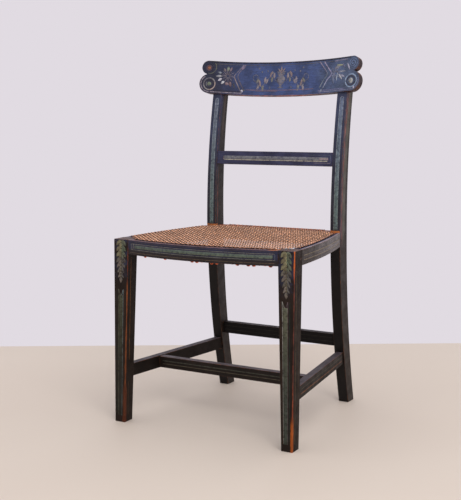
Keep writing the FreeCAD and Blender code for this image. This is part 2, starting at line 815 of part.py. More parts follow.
legs = [front_leg_stock, front_leg_stock_left]
posts = [rear_post_stock, rear_post_stock_left]
right_trims = [front_leg_trim, rear_post_trim]
front_rail = fitted("front_rail", front_rail_shape.stock(), legs,
                    [front_rail_right_tenon, front_rail_left_tenon])
rear_rail = fitted("rear_rail", rear_rail_shape.stock(), posts, [rear_rail_left_tenon, rear_rail_right_tenon])
side_rail_tenoned = fitted("side_rail_tenoned", side_rail_shape.stock(), right_trims,
                           [side_rear_tenon, side_front_tenon])
side_rail_right = cut("side_rail_right", side_rail_tenoned, [leg_pin_hole, post_pin_hole])
side_rail_left = mirrored("side_rail_left", side_rail_right)

side_stretcher_stock = side_stretcher_shape.stock()
side_stretcher_tenoned = fitted("side_stretcher_tenoned", side_stretcher_stock, right_trims,
                                [side_stretcher_rear_tenon, side_stretcher_front_tenon])
side_stretcher_right = cut("side_stretcher_right", side_stretcher_tenoned, [cross_right_mortise])
side_stretcher_left = mirrored("side_stretcher_left", side_stretcher_right)
cross_stretcher = fitted("cross_stretcher", cross_stretcher_shape.stock(), both_sides([side_stretcher_stock]),
                         [cross_right_tenon, cross_left_tenon])
rear_stretcher = fitted("rear_stretcher", rear_stretcher_shape.stock(), posts,
                        [rear_stretcher_right_tenon, rear_stretcher_left_tenon])
stay_tenoned = fitted("stay_tenoned", stay_rail_shape.stock(), posts, [stay_right_tenon, stay_left_tenon])
stay_rail = cut("stay_rail", stay_tenoned, both_sides([stay_pin_hole]))

# Cane: a net over the seat, a binder over each line of holes, and turns from hole to hole below


def mirror_point(point):
    return Vector(-point.x, point.y, point.z)


def net_outline():
    """The edge of the net, which reaches just past each line of holes and cuts off the corners."""
    inset = S.cane_hole_inset - S.cane_cover

    def at(rail, along):
        return rail.frame.vector(along, rail.edge(along) - inset, S.rail_height)

    def ends(rail):
        last = rail.length - rail.margins[1]
        return at(rail, last), at(rail, rail.length / 2), at(rail, rail.margins[0])

    front_left, front_middle, front_right = ends(front_rail_shape)
    side_front, side_middle, side_rear = ends(side_rail_shape)
    rear_right, _, rear_left = ends(rear_rail_shape)
    return Part.Wire([
        Part.Arc(front_left, front_middle, front_right).toShape(),
        Part.makeLine(front_right, side_front),
        Part.Arc(side_front, side_middle, side_rear).toShape(),
        Part.makeLine(side_rear, rear_right),
        Part.makeLine(rear_right, rear_left),
        Part.makeLine(rear_left, mirror_point(side_rear)),
        Part.Arc(mirror_point(side_rear), mirror_point(side_middle), mirror_point(side_front)).toShape(),
        Part.makeLine(mirror_point(side_front), front_left)])


def net():
    """One holed face, raised to the thickness of the weave."""
    edge = net_outline()
    whole = Part.Face(edge)
    bounds = whole.BoundBox
    pitch, least = S.cane_gap_pitch.value, S.cane_gap_radius.value + S.cane_gap_border.value
    columns = int(bounds.XMax // pitch)
    rows = int(bounds.YLength // pitch)
    middle_y = (bounds.YMin + bounds.YMax) / 2
    gaps = []
    for row in range(rows + 1):
        y = middle_y + (row - rows / 2) * pitch
        for column in range(-columns, columns + 1):
            centre = Vector(column * pitch, y, bounds.ZMin)
            to_edge = edge.distToShape(Part.Vertex(centre))[0]
            if to_edge >= least and whole.isInside(centre, FLATNESS, True):
                gaps.append(Part.Wire(Part.makeCircle(S.cane_gap_radius.value, centre)))
    holed = Part.makeFace([edge] + gaps, "Part::FaceMakerBullseye")
    return holed.extrude(Vector(0, 0, S.cane_thickness.value)), len(gaps)


cane_panel = document.addObject("Part::Feature", "cane_panel")
cane_panel.Shape, gap_count = net()
print("gaps in the net:", gap_count)


def binder(name, rail):
    """The flat strip of cane that lies over the holes of one rail."""
    body = new_body(name)
    plan = attached_sketch(body, name + "_plan", "XY_Plane", S.rail_height + S.cane_thickness)
    half = S.binder_width / 2
    first, last = rail.margins[0] - half, rail.length - rail.margins[1] + half
    draw_outline(plan, *rail.strip(first, last, S.cane_hole_inset - half, S.cane_hole_inset + half))
    pad(body, plan, S.binder_thickness)
    rail.frame.place(body)
    return body


cane_binder_front = binder("cane_binder_front", front_rail_shape)
cane_binder_rear = binder("cane_binder_rear", rear_rail_shape)
cane_binder_right = binder("cane_binder_right", side_rail_shape)
cane_binder_left = mirrored("cane_binder_left", cane_binder_right)


def loop(rail, start, end):
    """One turn of cane: up the hole at start, across below the rail, and up the hole at end."""
    near = rail.frame.vector(start, rail.edge(start) - S.cane_hole_inset, ZERO)
    far = rail.frame.vector(end, rail.edge(end) - S.cane_hole_inset, ZERO)
    along = (far - near).normalize()
    across = Vector(-along.y, along.x, 0) * S.loop_width.value
    half, sag = along * (S.loop_thickness.value / 2), Vector(0, 0, -S.loop_sag.value)
    leg, strip = Vector(0, 0, S.loop_leg.value), Vector(0, 0, -S.loop_thickness.value)
    middle = (near + far) / 2
    edges = [
        Part.makeLine(near - half + leg, near - half + strip),
        Part.Arc(near - half + strip, middle + sag + strip, far + half + strip).toShape(),
        Part.makeLine(far + half + strip, far + half + leg),
        Part.makeLine(far + half + leg, far - half + leg),
        Part.makeLine(far - half + leg, far - half),
        Part.Arc(far - half, middle + sag, near + half).toShape(),
        Part.makeLine(near + half, near + half + leg),
        Part.makeLine(near + half + leg, near - half + leg)]
    face = Part.Face(Part.Wire(edges))
    face.translate(across / -2)
    return face.extrude(across)


def loops(name, rail):
    """Turns of cane between every other pair of holes, so that each hole holds one leg."""
    stations = rail.stations()
    turns = [loop(rail, stations[number], stations[number + 1]) for number in range(0, len(stations) - 1, 2)]
    group = document.addObject("Part::Feature", name)
    group.Shape = Part.makeCompound(turns)
    return group


cane_loops_front = loops("cane_loops_front", front_rail_shape)
cane_loops_rear = loops("cane_loops_rear", rear_rail_shape)
cane_loops_right = loops("cane_loops_right", side_rail_shape)
cane_loops_left = mirrored("cane_loops_left", cane_loops_right)


def pegs(rail):
    """Pegs in the end holes of one rail, just below the net."""
    stations = rail.stations()
    found = []
    for label, along in (("first", stations[0]), ("last", stations[-1])):
        top = S.rail_height - S.fit_clearance - S.peg_length
        start = (along, rail.edge(along) - S.cane_hole_inset, top)
        name = rail.name + "_peg_" + label
        found.append(rod(name, rail.frame, start, S.peg_radius, S.peg_length, Vector(0, 0, 1)))
    return found


middle_pegs = pegs(front_rail_shape) + pegs(rear_rail_shape)
cane_pegs = grouped("cane_pegs", middle_pegs + both_sides(pegs(side_rail_shape)))

NODES = {
    "front_leg_right": front_leg_right,
    "front_leg_left": front_leg_left,
    "rear_post_right": rear_post_right,
    "rear_post_left": rear_post_left,
    "crest_rail": crest_rail,
    "stay_rail": stay_rail,
    "front_rail": front_rail,
    "rear_rail": rear_rail,
    "side_rail_right": side_rail_right,
    "side_rail_left": side_rail_left,
    "side_stretcher_right": side_stretcher_right,
    "side_stretcher_left": side_stretcher_left,
    "cross_stretcher": cross_stretcher,
    "rear_stretcher": rear_stretcher,
    "seat_rail_pins": seat_rail_pins,
    "stay_rail_pins": stay_rail_pins,
    "crest_pins": crest_pins,
    "cane_panel": cane_panel,
    "cane_binder_front": cane_binder_front,
    "cane_binder_rear": cane_binder_rear,
    "cane_binder_right": cane_binder_right,
    "cane_binder_left": cane_binder_left,
    "cane_loops_front": cane_loops_front,
    "cane_loops_rear": cane_loops_rear,
    "cane_loops_right": cane_loops_right,
    "cane_loops_left": cane_loops_left,
    "cane_pegs": cane_pegs,
}

document.recompute()
for item in document.Objects:
    if "Invalid" in item.State or "Error" in item.State:
        raise RuntimeError("%s failed: %s" % (item.Name, item.State))
for name, node in NODES.items():
    node.Label = name
    if node.Shape.isNull() or not node.Shape.isValid():
        raise RuntimeError("%s has no valid shape" % name)

os.makedirs("parts", exist_ok=True)
for name, node in NODES.items():
    node.Shape.exportStep("parts/%s.step" % name)
    print("%-22s %2d solid(s) %9.1f mm3" % (name, len(node.Shape.Solids), node.Shape.Volume))
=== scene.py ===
"""Looks of a stencilled, painted side chair with a caned seat: paint, wear, ornament, weave and light."""
import math
import random
from collections import namedtuple
from functools import partialmethod

import bpy
from mathutils import Matrix, Vector
from mathutils.bvhtree import BVHTree


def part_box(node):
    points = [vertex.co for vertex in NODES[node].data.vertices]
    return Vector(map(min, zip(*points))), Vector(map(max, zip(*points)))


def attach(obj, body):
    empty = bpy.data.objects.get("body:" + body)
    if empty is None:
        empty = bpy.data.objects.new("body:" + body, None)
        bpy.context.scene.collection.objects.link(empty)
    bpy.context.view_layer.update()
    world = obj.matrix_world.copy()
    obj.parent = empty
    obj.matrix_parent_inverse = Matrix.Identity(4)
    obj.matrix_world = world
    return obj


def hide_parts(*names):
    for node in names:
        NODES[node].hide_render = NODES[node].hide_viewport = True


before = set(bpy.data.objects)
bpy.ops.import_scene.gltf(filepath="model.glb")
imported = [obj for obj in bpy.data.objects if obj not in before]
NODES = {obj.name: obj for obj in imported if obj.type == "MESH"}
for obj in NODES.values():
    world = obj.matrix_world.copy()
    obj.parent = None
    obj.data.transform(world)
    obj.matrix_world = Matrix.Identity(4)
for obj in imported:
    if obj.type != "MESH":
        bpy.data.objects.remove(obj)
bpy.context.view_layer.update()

MM = 0.001


def lit(colour):
    """Linear light of a colour written as red, green and blue from 0 to 255; anything else stays."""
    if not isinstance(colour, (tuple, list)) or len(colour) != 3:
        return colour
    shares = [part / 255 for part in colour]
    light = [share / 12.92 if share <= 0.04045 else ((share + 0.055) / 1.055) ** 2.4 for share in shares]
    return (*light, 1.0)


def blend(first, second, share):
    """A colour between two, with the share held between 0 and 1."""
    share = min(max(share, 0.0), 1.0)
    return tuple(a + (b - a) * share for a, b in zip(lit(first), lit(second)))


# Places of the frame that the ornament and the weave follow, in millimetres

def span(node, axis):
    """Where a node of the frame starts and ends along an axis."""
    return [round(corner[axis] / MM, 3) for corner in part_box(node)]


LEG_TOP_INNER, LEG_OUTER = span("front_leg_right", 0)
LEG_FOOT_FRONT, LEG_BACK = span("front_leg_right", 1)
LEG_FOOT_INNER = LEG_OUTER - 27.5
FRONT_Y = LEG_FOOT_FRONT + 11.0
POST_INNER, POST_OUTER = span("rear_post_right", 0)
POST_FRONT = span("rear_post_right", 1)[0]
POST_MIDDLE = (POST_INNER + POST_OUTER) / 2
POST_TOP_Y = FRONT_Y + 378.4
POST_SWEEP = 9.3
RAIL_BOTTOM, SEAT_TOP = span("front_rail", 2)
CREST_BASE_Y = FRONT_Y + 388.0
CREST_BASE_Z = 777.0
CREST_LEAN = math.radians(10.3)
CREST_HEIGHT = 84.5
CREST_EDGE_HALF = 202.0
CREST_DISH = 5.0


# Shader graphs

class Graph:
    """The node tree of a material or of the world, built by calls that return sockets."""

    def __init__(self, owner):
        owner.use_nodes = True
        self.tree = owner.node_tree
        self.tree.nodes.clear()

    def node(self, kind, inputs=None, **settings):
        """A node with its settings and inputs; an input is a number, a colour or another socket."""
        node = self.tree.nodes.new("ShaderNode" + kind)
        for key, value in settings.items():
            setattr(node, key, value)
        for key, value in (inputs or {}).items():
            if isinstance(value, bpy.types.NodeSocket):
                self.tree.links.new(value, node.inputs[key])
            else:
                node.inputs[key].default_value = value
        return node

    def math(self, operation, first, second=0.0):
        return self.node("Math", {0: first, 1: second}, operation=operation).outputs[0]

    plus = partialmethod(math, "ADD")
    minus = partialmethod(math, "SUBTRACT")
    times = partialmethod(math, "MULTIPLY")
    most = partialmethod(math, "MAXIMUM")
    size = partialmethod(math, "ABSOLUTE")

    def linear(self, value, factor, offset):
        return self.node("Math", {0: value, 1: factor, 2: offset}, operation="MULTIPLY_ADD").outputs[0]

    def axis(self, vector, axis):
        return self.node("SeparateXYZ", {0: vector}).outputs[axis]

    def ramp(self, value, low, high, start=0.0, end=1.0):
        """From start to end as the value goes from low to high, smoothly."""
        inputs = {"Value": value, "From Min": low, "From Max": high, "To Min": start, "To Max": end}
        return self.node("MapRange", inputs, interpolation_type="SMOOTHSTEP").outputs["Result"]


class Finish(Graph):
    """A material's graph, with the point shaded and the way its face looks at hand."""

    def __init__(self, name):
        self.material = bpy.data.materials.new(name)
        super().__init__(self.material)
        found = self.node("TexCoord").outputs
        self.place, self.normal = found["Object"], found["Normal"]

    def places(self):
        """x, y and z of the point shaded, in metres."""
        return [self.axis(self.place, axis) for axis in range(3)]

    def facing(self, axis, low, high):
        """0 to 1 as the face turns along an axis, between two shares of that axis in its normal."""
        return self.ramp(self.axis(self.normal, axis), low, high)

    def beside(self):
        """1 where the face looks left or right, 0 elsewhere."""
        return self.ramp(self.size(self.axis(self.normal, 0)), 0.55, 0.8)

    def noise(self, scale, detail=3.0, roughness=0.55, stretch=(1, 1, 1)):
        """Noise with about so many lumps a metre, drawn out along an axis by a small stretch."""
        place = self.node("VectorMath", {0: self.place, 1: stretch}, operation="MULTIPLY").outputs[0]
        inputs = {"Vector": place, "Scale": scale, "Detail": detail, "Roughness": roughness}
        return self.node("TexNoise", inputs).outputs["Fac"]

    def ragged(self, reach, scale, *detail, **stretch):
        """Noise that moves an edge to and fro by up to half of reach."""
        return self.linear(self.noise(scale, *detail, **stretch), reach, -reach / 2)

    def mix(self, share, first, second):
        """A colour between two, by a share."""
        return self.node("Mix", {0: share, 6: lit(first), 7: lit(second)}, data_type="RGBA").outputs[2]

    def scaled(self, colour, factor):
        return self.node("VectorMath", {0: colour, "Scale": factor}, operation="SCALE").outputs[0]

    def attribute(self, name, output="Fac"):
        return self.node("Attribute", attribute_name=name).outputs[output]

    def surface(self, colour, roughness, specular, height, strength, distance):
        """The finished material, with a bump of a height, a strength and a distance in metres."""
        bump = self.node("Bump", {"Height": height, "Strength": strength, "Distance": distance})
        inputs = {"Base Color": colour, "Roughness": roughness, "Normal": bump.outputs["Normal"],
                  "Specular IOR Level": specular}
        shader = self.node("BsdfPrincipled", inputs)
        self.node("OutputMaterial", {"Surface": shader.outputs[0]})
        return self.material


# Painted wood

ALONG_X, ALONG_Y, ALONG_Z = (0.07, 1, 1), (1, 0.07, 1), (1, 1, 0.07)
BARE_WOOD = (168, 98, 52)
PRIMER = (92, 50, 36)
WORN_REACH = 2.2 * MM

# Half the seat's width, in metres, falls off by this much for each metre back, from this at y = 0
SEAT_TAPER = (-0.155, 0.203)
SIDE_RAIL_MIDDLE, SIDE_RAIL_HALF = -0.0145, 0.151


def arris_share(graph, reach):
    """How near a point lies to an arris, 0 to 1, on the flats beside it and on its bevel."""
    soft = graph.node("Bevel", {"Radius": reach}, samples=6).outputs["Normal"]
    true = graph.node("NewGeometry").outputs["True Normal"]
    alike = graph.node("VectorMath", {0: soft, 1: true}, operation="DOT_PRODUCT").outputs["Value"]
    parts = [graph.size(graph.axis(true, axis)) for axis in range(3)]
    squarest = graph.most(graph.most(parts[0], parts[1]), parts[2])
    return graph.most(graph.ramp(graph.minus(1.0, alike), 0.0, 0.16), graph.ramp(squarest, 0.93, 0.8))


def painted(name, look, stencil=False):
    """Old satin paint, rubbed at the arrises, or ornament painted over it with stencil set."""
    graph = Finish(name)
    colour = graph.mix(graph.beside(), look.front, look.side)
    # Painted sheen: upward faces take the top colour, lighter and lavender-grey on most looks, standing for
    # the pale sky mirrored in them. Downward faces take the under colour, a little darker on the stretchers,
    # which is painted shade.
    colour = graph.mix(graph.facing(2, 0.55, 0.8), colour, look.top)
    colour = graph.mix(graph.facing(2, -0.55, -0.8), colour, look.under)
    if look.change:
        colour = look.change(graph, colour)
    patches = graph.ramp(graph.noise(26, 4), 0.3, 0.7, 0.74, 1.26)
    streaks = graph.noise(650, 4, 0.65, stretch=look.along)
    tone = graph.times(patches, graph.ramp(streaks, 0.25, 0.75, 0.72, 1.28))
    colour = graph.scaled(colour, tone)
    roughness = graph.ramp(graph.noise(48, 4, 0.6), 0.3, 0.7, 0.4, 0.6)
    if stencil:
        torn = graph.plus(graph.attribute("inset"), graph.ragged(1.0, 900, 3))
        rubbed = graph.ramp(graph.noise(170, 6, 0.72), 0.34, 0.52, 0.18, 1.0)
        faded = graph.ramp(graph.noise(90, 3), 0.3, 0.7, 0.8, 1.2)
        tint = graph.scaled(graph.attribute("tint", "Color"), faded)
        colour = graph.mix(graph.times(graph.ramp(torn, 0.1, 0.55), rubbed), colour, tint)
    else:
        spots = graph.ramp(graph.noise(240, 5, 0.7), 0.38, 0.62)
        edge = graph.times(arris_share(graph, WORN_REACH), spots)
        specks = graph.ramp(graph.noise(420, 5, 0.7), 0.69, 0.76)
        worn = graph.most(graph.times(edge, look.wear), graph.times(specks, look.wear / 2))
        bare = graph.mix(graph.ramp(graph.noise(130, 3), 0.42, 0.6), PRIMER, BARE_WOOD)
        colour = graph.mix(worn, colour, bare)
        roughness = graph.plus(roughness, graph.times(worn, 0.2))
    cells = graph.node("TexVoronoi", {"Vector": graph.place, "Scale": 430}, feature="DISTANCE_TO_EDGE")
    cracked = graph.ramp(cells.outputs["Distance"], 0.0, 0.07)
    colour = graph.scaled(colour, graph.ramp(cracked, 0.0, 1.0, 0.82, 1.0))
    height = graph.plus(graph.times(streaks, 0.6), graph.times(cracked, 0.5))
    height = graph.plus(height, graph.noise(60, 3))
    return graph.surface(colour, roughness, look.gloss, height, 0.35, 0.25 * MM)


def arris_glow(start, slope, bands):
    """Bare wood along one long front arris of a leg; x is start + slope times the height, in metres."""
    def change(graph, colour):
        x, y, z = graph.places()
        depth = (FRONT_Y - LEG_FOOT_FRONT) / SEAT_TOP
        aside = graph.size(graph.minus(x, graph.linear(z, slope, start)))
        behind = graph.minus(y, graph.linear(z, depth, LEG_FOOT_FRONT * MM))
        torn = graph.linear(graph.noise(150, 5, 0.7, stretch=(1, 1, 0.25)), 7 * MM, -3.7 * MM)
        near = graph.plus(graph.most(aside, behind), torn)
        navy = graph.times(graph.ramp(z, 0.33, 0.38), graph.ramp(graph.noise(70, 4), 0.4, 0.6))
        colour = graph.mix(graph.times(graph.facing(1, -0.6, -0.85), navy), colour, (41, 41, 56))
        for low, high, reach, *shade in bands:
            away = graph.size(graph.minus(z, (low + high) / 2 * MM))
            half = (high - low) / 2 * MM
            held = graph.ramp(away, half, half - 25 * MM)
            share = graph.times(graph.ramp(near, reach * MM, (reach - 1.2) * MM), held)
            colour = graph.mix(share, colour, shade)
        return colour
    return change


# Each band runs from one height to another and reaches so far from the arris; then comes its colour

LEG_SLOPE = (LEG_FOOT_INNER - LEG_TOP_INNER) / SEAT_TOP
right_leg_arris = arris_glow(LEG_OUTER * MM, 0.0, [
    (-40, 480, 1.5, 92, 46, 38), (360, 480, 1.9, 150, 70, 42), (390, 500, 2.7, 188, 92, 42),
    (50, 150, 2.0, 132, 62, 42), (-40, 84, 5.0, 138, 68, 26)])
left_leg_arris = arris_glow(-LEG_FOOT_INNER * MM, LEG_SLOPE, [
    (-40, 480, 1.5, 90, 42, 34), (160, 350, 2.2, 116, 62, 34), (60, 200, 3.0, 104, 56, 30),
    (-40, 100, 7.0, 76, 38, 22)])


def post_ground(graph, colour):
    """The posts: nearly black below the seat, partly as painted shade under it, navy in front and streaked
    brown at the sides above it.
    """
    x, y, z = graph.places()
    beside = graph.beside()
    share = graph.linear(z, 1000 / (CREST_BASE_Z - SEAT_TOP), -SEAT_TOP / (CREST_BASE_Z - SEAT_TOP))
    bowed = graph.times(share, graph.minus(1.0, share))
    front = graph.linear(share, (POST_TOP_Y - POST_FRONT) * MM, POST_FRONT * MM)
    front = graph.minus(front, graph.times(bowed, 4 * POST_SWEEP * MM))
    behind = graph.plus(graph.minus(y, front), graph.ragged(6 * MM, 60, 4, 0.6, stretch=(1, 1, 0.15)))
    high = graph.ramp(z, 0.47, 0.76)
    mottled = graph.ramp(graph.noise(190, 5, 0.7, stretch=(1, 1, 0.16)), 0.42, 0.6)

    # The outer side: mottled orange-brown, then grey, then dark toward the back
    share = graph.times(mottled, graph.ramp(behind, 1 * MM, 6 * MM))
    outside = graph.mix(share, (54, 48, 60), (124, 74, 64))
    outside = graph.mix(graph.ramp(behind, 10 * MM, 15 * MM), outside, (78, 74, 66))
    outside = graph.mix(graph.ramp(behind, 25 * MM, 30 * MM), outside, (36, 30, 29))

    # The inner side: dark brown behind navy, with a pale streak near the top and a brown one below it
    inside = graph.mix(high, (40, 33, 33), (46, 46, 74))
    inside = graph.mix(graph.ramp(behind, 4 * MM, 14 * MM), inside, (41, 35, 33))
    streak = graph.ramp(graph.size(graph.minus(behind, 20 * MM)), 6 * MM, 2 * MM)
    inside = graph.mix(graph.times(streak, graph.ramp(z, 0.64, 0.72)), inside, (66, 55, 51))
    streak = graph.ramp(graph.size(graph.minus(behind, 10 * MM)), 4 * MM, 1 * MM)
    streak = graph.times(streak, graph.ramp(z, 0.6, 0.56))
    inside = graph.mix(graph.times(streak, mottled), inside, (112, 62, 52))

    # The front, the back and the part below the seat, darkened there partly as painted shade
    outward = graph.ramp(graph.times(graph.math("SIGN", x), graph.axis(graph.normal, 0)), -0.2, 0.2)
    upper = graph.mix(beside, graph.mix(high, (40, 39, 47), (52, 57, 80)),
                      graph.mix(outward, inside, outside))
    upper = graph.mix(graph.facing(1, 0.2, 0.6), upper, (44, 40, 44))
    lower = graph.mix(beside, (17, 13, 12), (38, 29, 24))
    colour = graph.mix(graph.ramp(z, 0.395, 0.445), lower, upper)

    # Bare wood at the foot of the front and inner faces, where the cane meets them
    foot = graph.plus(graph.size(graph.minus(z, (SEAT_TOP + 2) * MM)), graph.ragged(5 * MM, 130, 4))
    rubbed = graph.mix(graph.noise(300, 4), (128, 70, 42), (196, 120, 62))
    bare = graph.times(graph.ramp(foot, 3.4 * MM, 1.8 * MM), graph.ramp(behind, 14 * MM, 7 * MM))
    bare = graph.times(bare, graph.minus(1.0, graph.times(beside, outward)))
    return graph.mix(bare, colour, rubbed)


def dark_behind(graph, colour):
    """Plain dark paint on the face turned away from the front."""
    return graph.mix(graph.facing(1, 0.2, 0.6), colour, (40, 37, 42))


def rail_tops(graph, colour):
    """Bare, oiled wood on the seat rails' tops: at the corners, behind the cane and thinly before it."""
    x, y, _ = graph.places()
    aside = graph.size(x)
    within = graph.plus(graph.minus(graph.linear(y, *SEAT_TAPER), aside), graph.ragged(6 * MM, 120, 4))
    ahead = graph.times(graph.ramp(y, -0.16, -0.185), graph.ramp(x, 0.17, 0.185))
    rear = graph.times(graph.ramp(y, 0.095, 0.112), graph.ramp(aside, 0.12, 0.135))
    corner = graph.times(graph.most(ahead, rear), graph.ramp(within, 0.001, 0.005))
    bare = graph.most(corner, graph.ramp(y, 0.145, 0.15))
    wood = graph.mix(graph.noise(300, 4, 0.6, stretch=ALONG_X), (140, 78, 44), (200, 124, 72))
    wood = graph.mix(graph.ramp(y, 0.13, 0.145), wood, (150, 84, 64))
    return graph.mix(graph.times(bare, graph.facing(2, 0.6, 0.85)), colour, wood)


def side_rail_ground(graph, colour):
    """The side rails: streaked and darker forward at the side, navy on top inside a paler outer strip at the
    arris, which is a painted highlight.
    """
    x, y, _ = graph.places()
    cloud = graph.plus(y, graph.ragged(0.2, 38, 4, 0.6, stretch=(1, 0.4, 1)))
    face = graph.mix(graph.ramp(cloud, -0.15, 0.1), (56, 48, 44), (104, 97, 97))
    streaks = graph.ramp(graph.noise(260, 4, 0.7, stretch=(1, 0.08, 1)), 0.3, 0.7, 0.66, 1.3)
    colour = graph.mix(graph.beside(), colour, graph.scaled(face, streaks))
    along = graph.linear(y, 1 / SIDE_RAIL_HALF, -SIDE_RAIL_MIDDLE / SIDE_RAIL_HALF)
    bow = graph.linear(graph.times(along, along), -8 * MM, 8 * MM)
    # Painted highlight: the light top colour stays only on a thin strip along the outer arris; the rest of
    # the top turns navy
    edge = graph.plus(graph.linear(y, SEAT_TAPER[0], SEAT_TAPER[1] + 0.0073), bow)
    margin = graph.plus(graph.minus(edge, graph.size(x)), graph.ragged(2 * MM, 90, 4))
    navy = graph.times(graph.ramp(margin, 4.2 * MM, 6 * MM), graph.facing(2, 0.6, 0.85))
    return rail_tops(graph, graph.mix(navy, colour, (58, 54, 72)))


def crest_ground(graph, colour):
    """Navy at the left of the crest, blue in the middle and slate at the right, on its front only."""
    x = graph.places()[0]
    clouded = graph.plus(x, graph.ragged(0.16, 24, 4))
    ground = graph.mix(graph.ramp(clouded, -0.2, -0.05), (44, 46, 66), (58, 72, 114))
    ground = graph.mix(graph.ramp(clouded, 0.05, 0.2), ground, (76, 88, 114))
    blotched = graph.ramp(graph.noise(110, 5, 0.7), 0.5, 0.66)
    ground = graph.mix(graph.times(blotched, 0.35), ground, (54, 52, 62))
    colour = graph.mix(graph.facing(1, -0.6, -0.85), colour, ground)
    under = graph.times(graph.facing(2, -0.55, -0.8), graph.ramp(graph.size(x), 0.16, 0.07))
    share = graph.times(under, graph.ramp(graph.noise(60, 4), 0.4, 0.56))
    return graph.mix(share, colour, (140, 68, 50))


def front_rail_ground(graph, colour):
    """The front rail's face: navy above, black-brown below, under the bare corners of its top."""
    z = graph.places()[2]
    low = graph.ramp(z, (RAIL_BOTTOM + 16) * MM, (RAIL_BOTTOM + 9) * MM)
    colour = graph.mix(graph.times(graph.facing(1, -0.5, -0.8), low), colour, (34, 28, 29))
    return rail_tops(graph, colour)


# Paint by the way a face looks, the way its streaks run, wear, gloss, and what else changes its colour

Look = namedtuple("Look", "front side top under along wear gloss change", defaults=(None,))
# Below the seat the legs' and stretchers' colours are darker than their paint, the rear stretcher darkest:
# painted shade under the seat. The lavender-grey tops of the legs, side rails and stretchers are painted
# sheen; on the rails the tops are partly bare wood.
LEG = Look((35, 26, 21), (33, 24, 19), (96, 76, 72), (33, 24, 19), ALONG_Z, 0.32, 0.1)
POST = Look((35, 39, 56), (52, 44, 41), (50, 46, 50), (52, 44, 41), ALONG_Z, 0.3, 0.2, post_ground)
CREST = Look((30, 29, 36), (46, 26, 28), (38, 36, 50), (58, 34, 32), ALONG_X, 0.5, 0.25, crest_ground)
STAY = Look((50, 51, 76), (38, 38, 46), (42, 40, 48), (30, 26, 28), ALONG_X, 0.3, 0.2, dark_behind)
FRONT_RAIL = Look((34, 35, 56), (34, 30, 34), (104, 80, 82), (40, 30, 26), ALONG_X, 0.22, 0.22,
                  front_rail_ground)
SIDE_RAIL = Look((44, 37, 36), (74, 63, 58), (142, 130, 138), (40, 30, 26), ALONG_Y, 0.4, 0.2,
                 side_rail_ground)
REAR_RAIL = Look((30, 29, 36), (34, 30, 34), (140, 84, 66), (40, 30, 26), ALONG_X, 0.6, 0.22, rail_tops)
CROSS_BAR = Look((30, 23, 19), (30, 23, 19), (92, 82, 86), (22, 17, 15), ALONG_X, 0.8, 0.14)
SIDE_BAR = Look((26, 20, 16), (26, 19, 15), (78, 70, 74), (22, 17, 15), ALONG_Y, 0.7, 0.1)
REAR_BAR = Look((18, 14, 13), (18, 14, 13), (38, 33, 35), (15, 12, 12), ALONG_X, 0.3, 0.14)
PIN = Look((40, 34, 32), (40, 34, 32), (48, 40, 36), (40, 34, 32), ALONG_Z, 0.3, 0.25)

for name, look, *nodes in (
        ("leg_paint_right", LEG._replace(change=right_leg_arris), "front_leg_right"),
        ("leg_paint_left", LEG._replace(change=left_leg_arris), "front_leg_left"),
        ("post_paint", POST, "rear_post_right", "rear_post_left"),
        ("crest_paint", CREST, "crest_rail"),
        ("stay_paint", STAY, "stay_rail"),
        ("front_rail_paint", FRONT_RAIL, "front_rail"),
        ("side_rail_paint", SIDE_RAIL, "side_rail_right", "side_rail_left"),
        ("rear_rail_paint", REAR_RAIL, "rear_rail"),
        ("cross_stretcher_paint", CROSS_BAR, "cross_stretcher"),
        ("side_stretcher_paint", SIDE_BAR, "side_stretcher_right", "side_stretcher_left"),
        ("rear_stretcher_paint", REAR_BAR, "rear_stretcher"),
        ("pin_paint", PIN, "seat_rail_pins", "stay_rail_pins", "crest_pins", "cane_pegs")):
    paint = painted(name, look)
    for node in nodes:
        NODES[node].data.materials.clear()
        NODES[node].data.materials.append(paint)


# Cane

PITCH = 12.48
SEAT_MIDDLE_Y = -27.0


def cane(name, light, dark, gloss):
    """Split cane: a glossy skin with fine lines, stained in patches, red at the rear; darker on its sides,
    underneath and between the diagonals, which is painted shade.
    """
    graph = Finish(name)
    tone = graph.ramp(graph.attribute("tone"), 0.0, 1.0, 0.55, 1.3)
    patches = graph.ramp(graph.noise(17, 4, 0.6), 0.32, 0.68, 0.86, 1.16)
    fine_tone = graph.ramp(graph.noise(900, 3), 0.3, 0.7, 0.86, 1.14)
    spots = graph.ramp(graph.noise(150, 2, 0.5, stretch=(1, 0.4, 1)), 0.36, 0.64, 0.74, 1.26)
    x, y, _ = graph.places()
    # Painted shade: a cosine across the seat darkens the cane between the diagonals, for the strands lying
    # beneath them
    turns = graph.linear(graph.plus(x, y), 2000 * math.pi / PITCH, -2 * math.pi * SEAT_MIDDLE_Y / PITCH)
    shade_between_diagonals = graph.ramp(graph.math("COSINE", turns), -0.9, 0.8, 0.44, 1.34)
    fine_tone = graph.times(fine_tone, graph.times(spots, shade_between_diagonals))
    # Painted shade: faces turned from straight up take the dark colour, so each strand's sides and underside
    # are darker
    colour = graph.mix(graph.facing(2, 0.35, 0.95), dark, light)
    stained = graph.ramp(graph.noise(52, 5, 0.7), 0.52, 0.66)
    colour = graph.mix(graph.times(stained, 0.4), colour, dark)
    rubbed = graph.ramp(graph.noise(75, 4, 0.7), 0.6, 0.7)
    colour = graph.mix(graph.times(rubbed, 0.3), colour, (228, 190, 166))
    colour = graph.mix(graph.times(graph.ramp(y, 0.128, 0.15), 0.7), colour, (170, 96, 68))
    colour = graph.scaled(colour, graph.times(tone, graph.times(patches, fine_tone)))
    height = graph.plus(graph.noise(1600, 2), graph.noise(260, 2))
    return graph.surface(colour, gloss, 0.4, height, 0.3, 0.1 * MM)


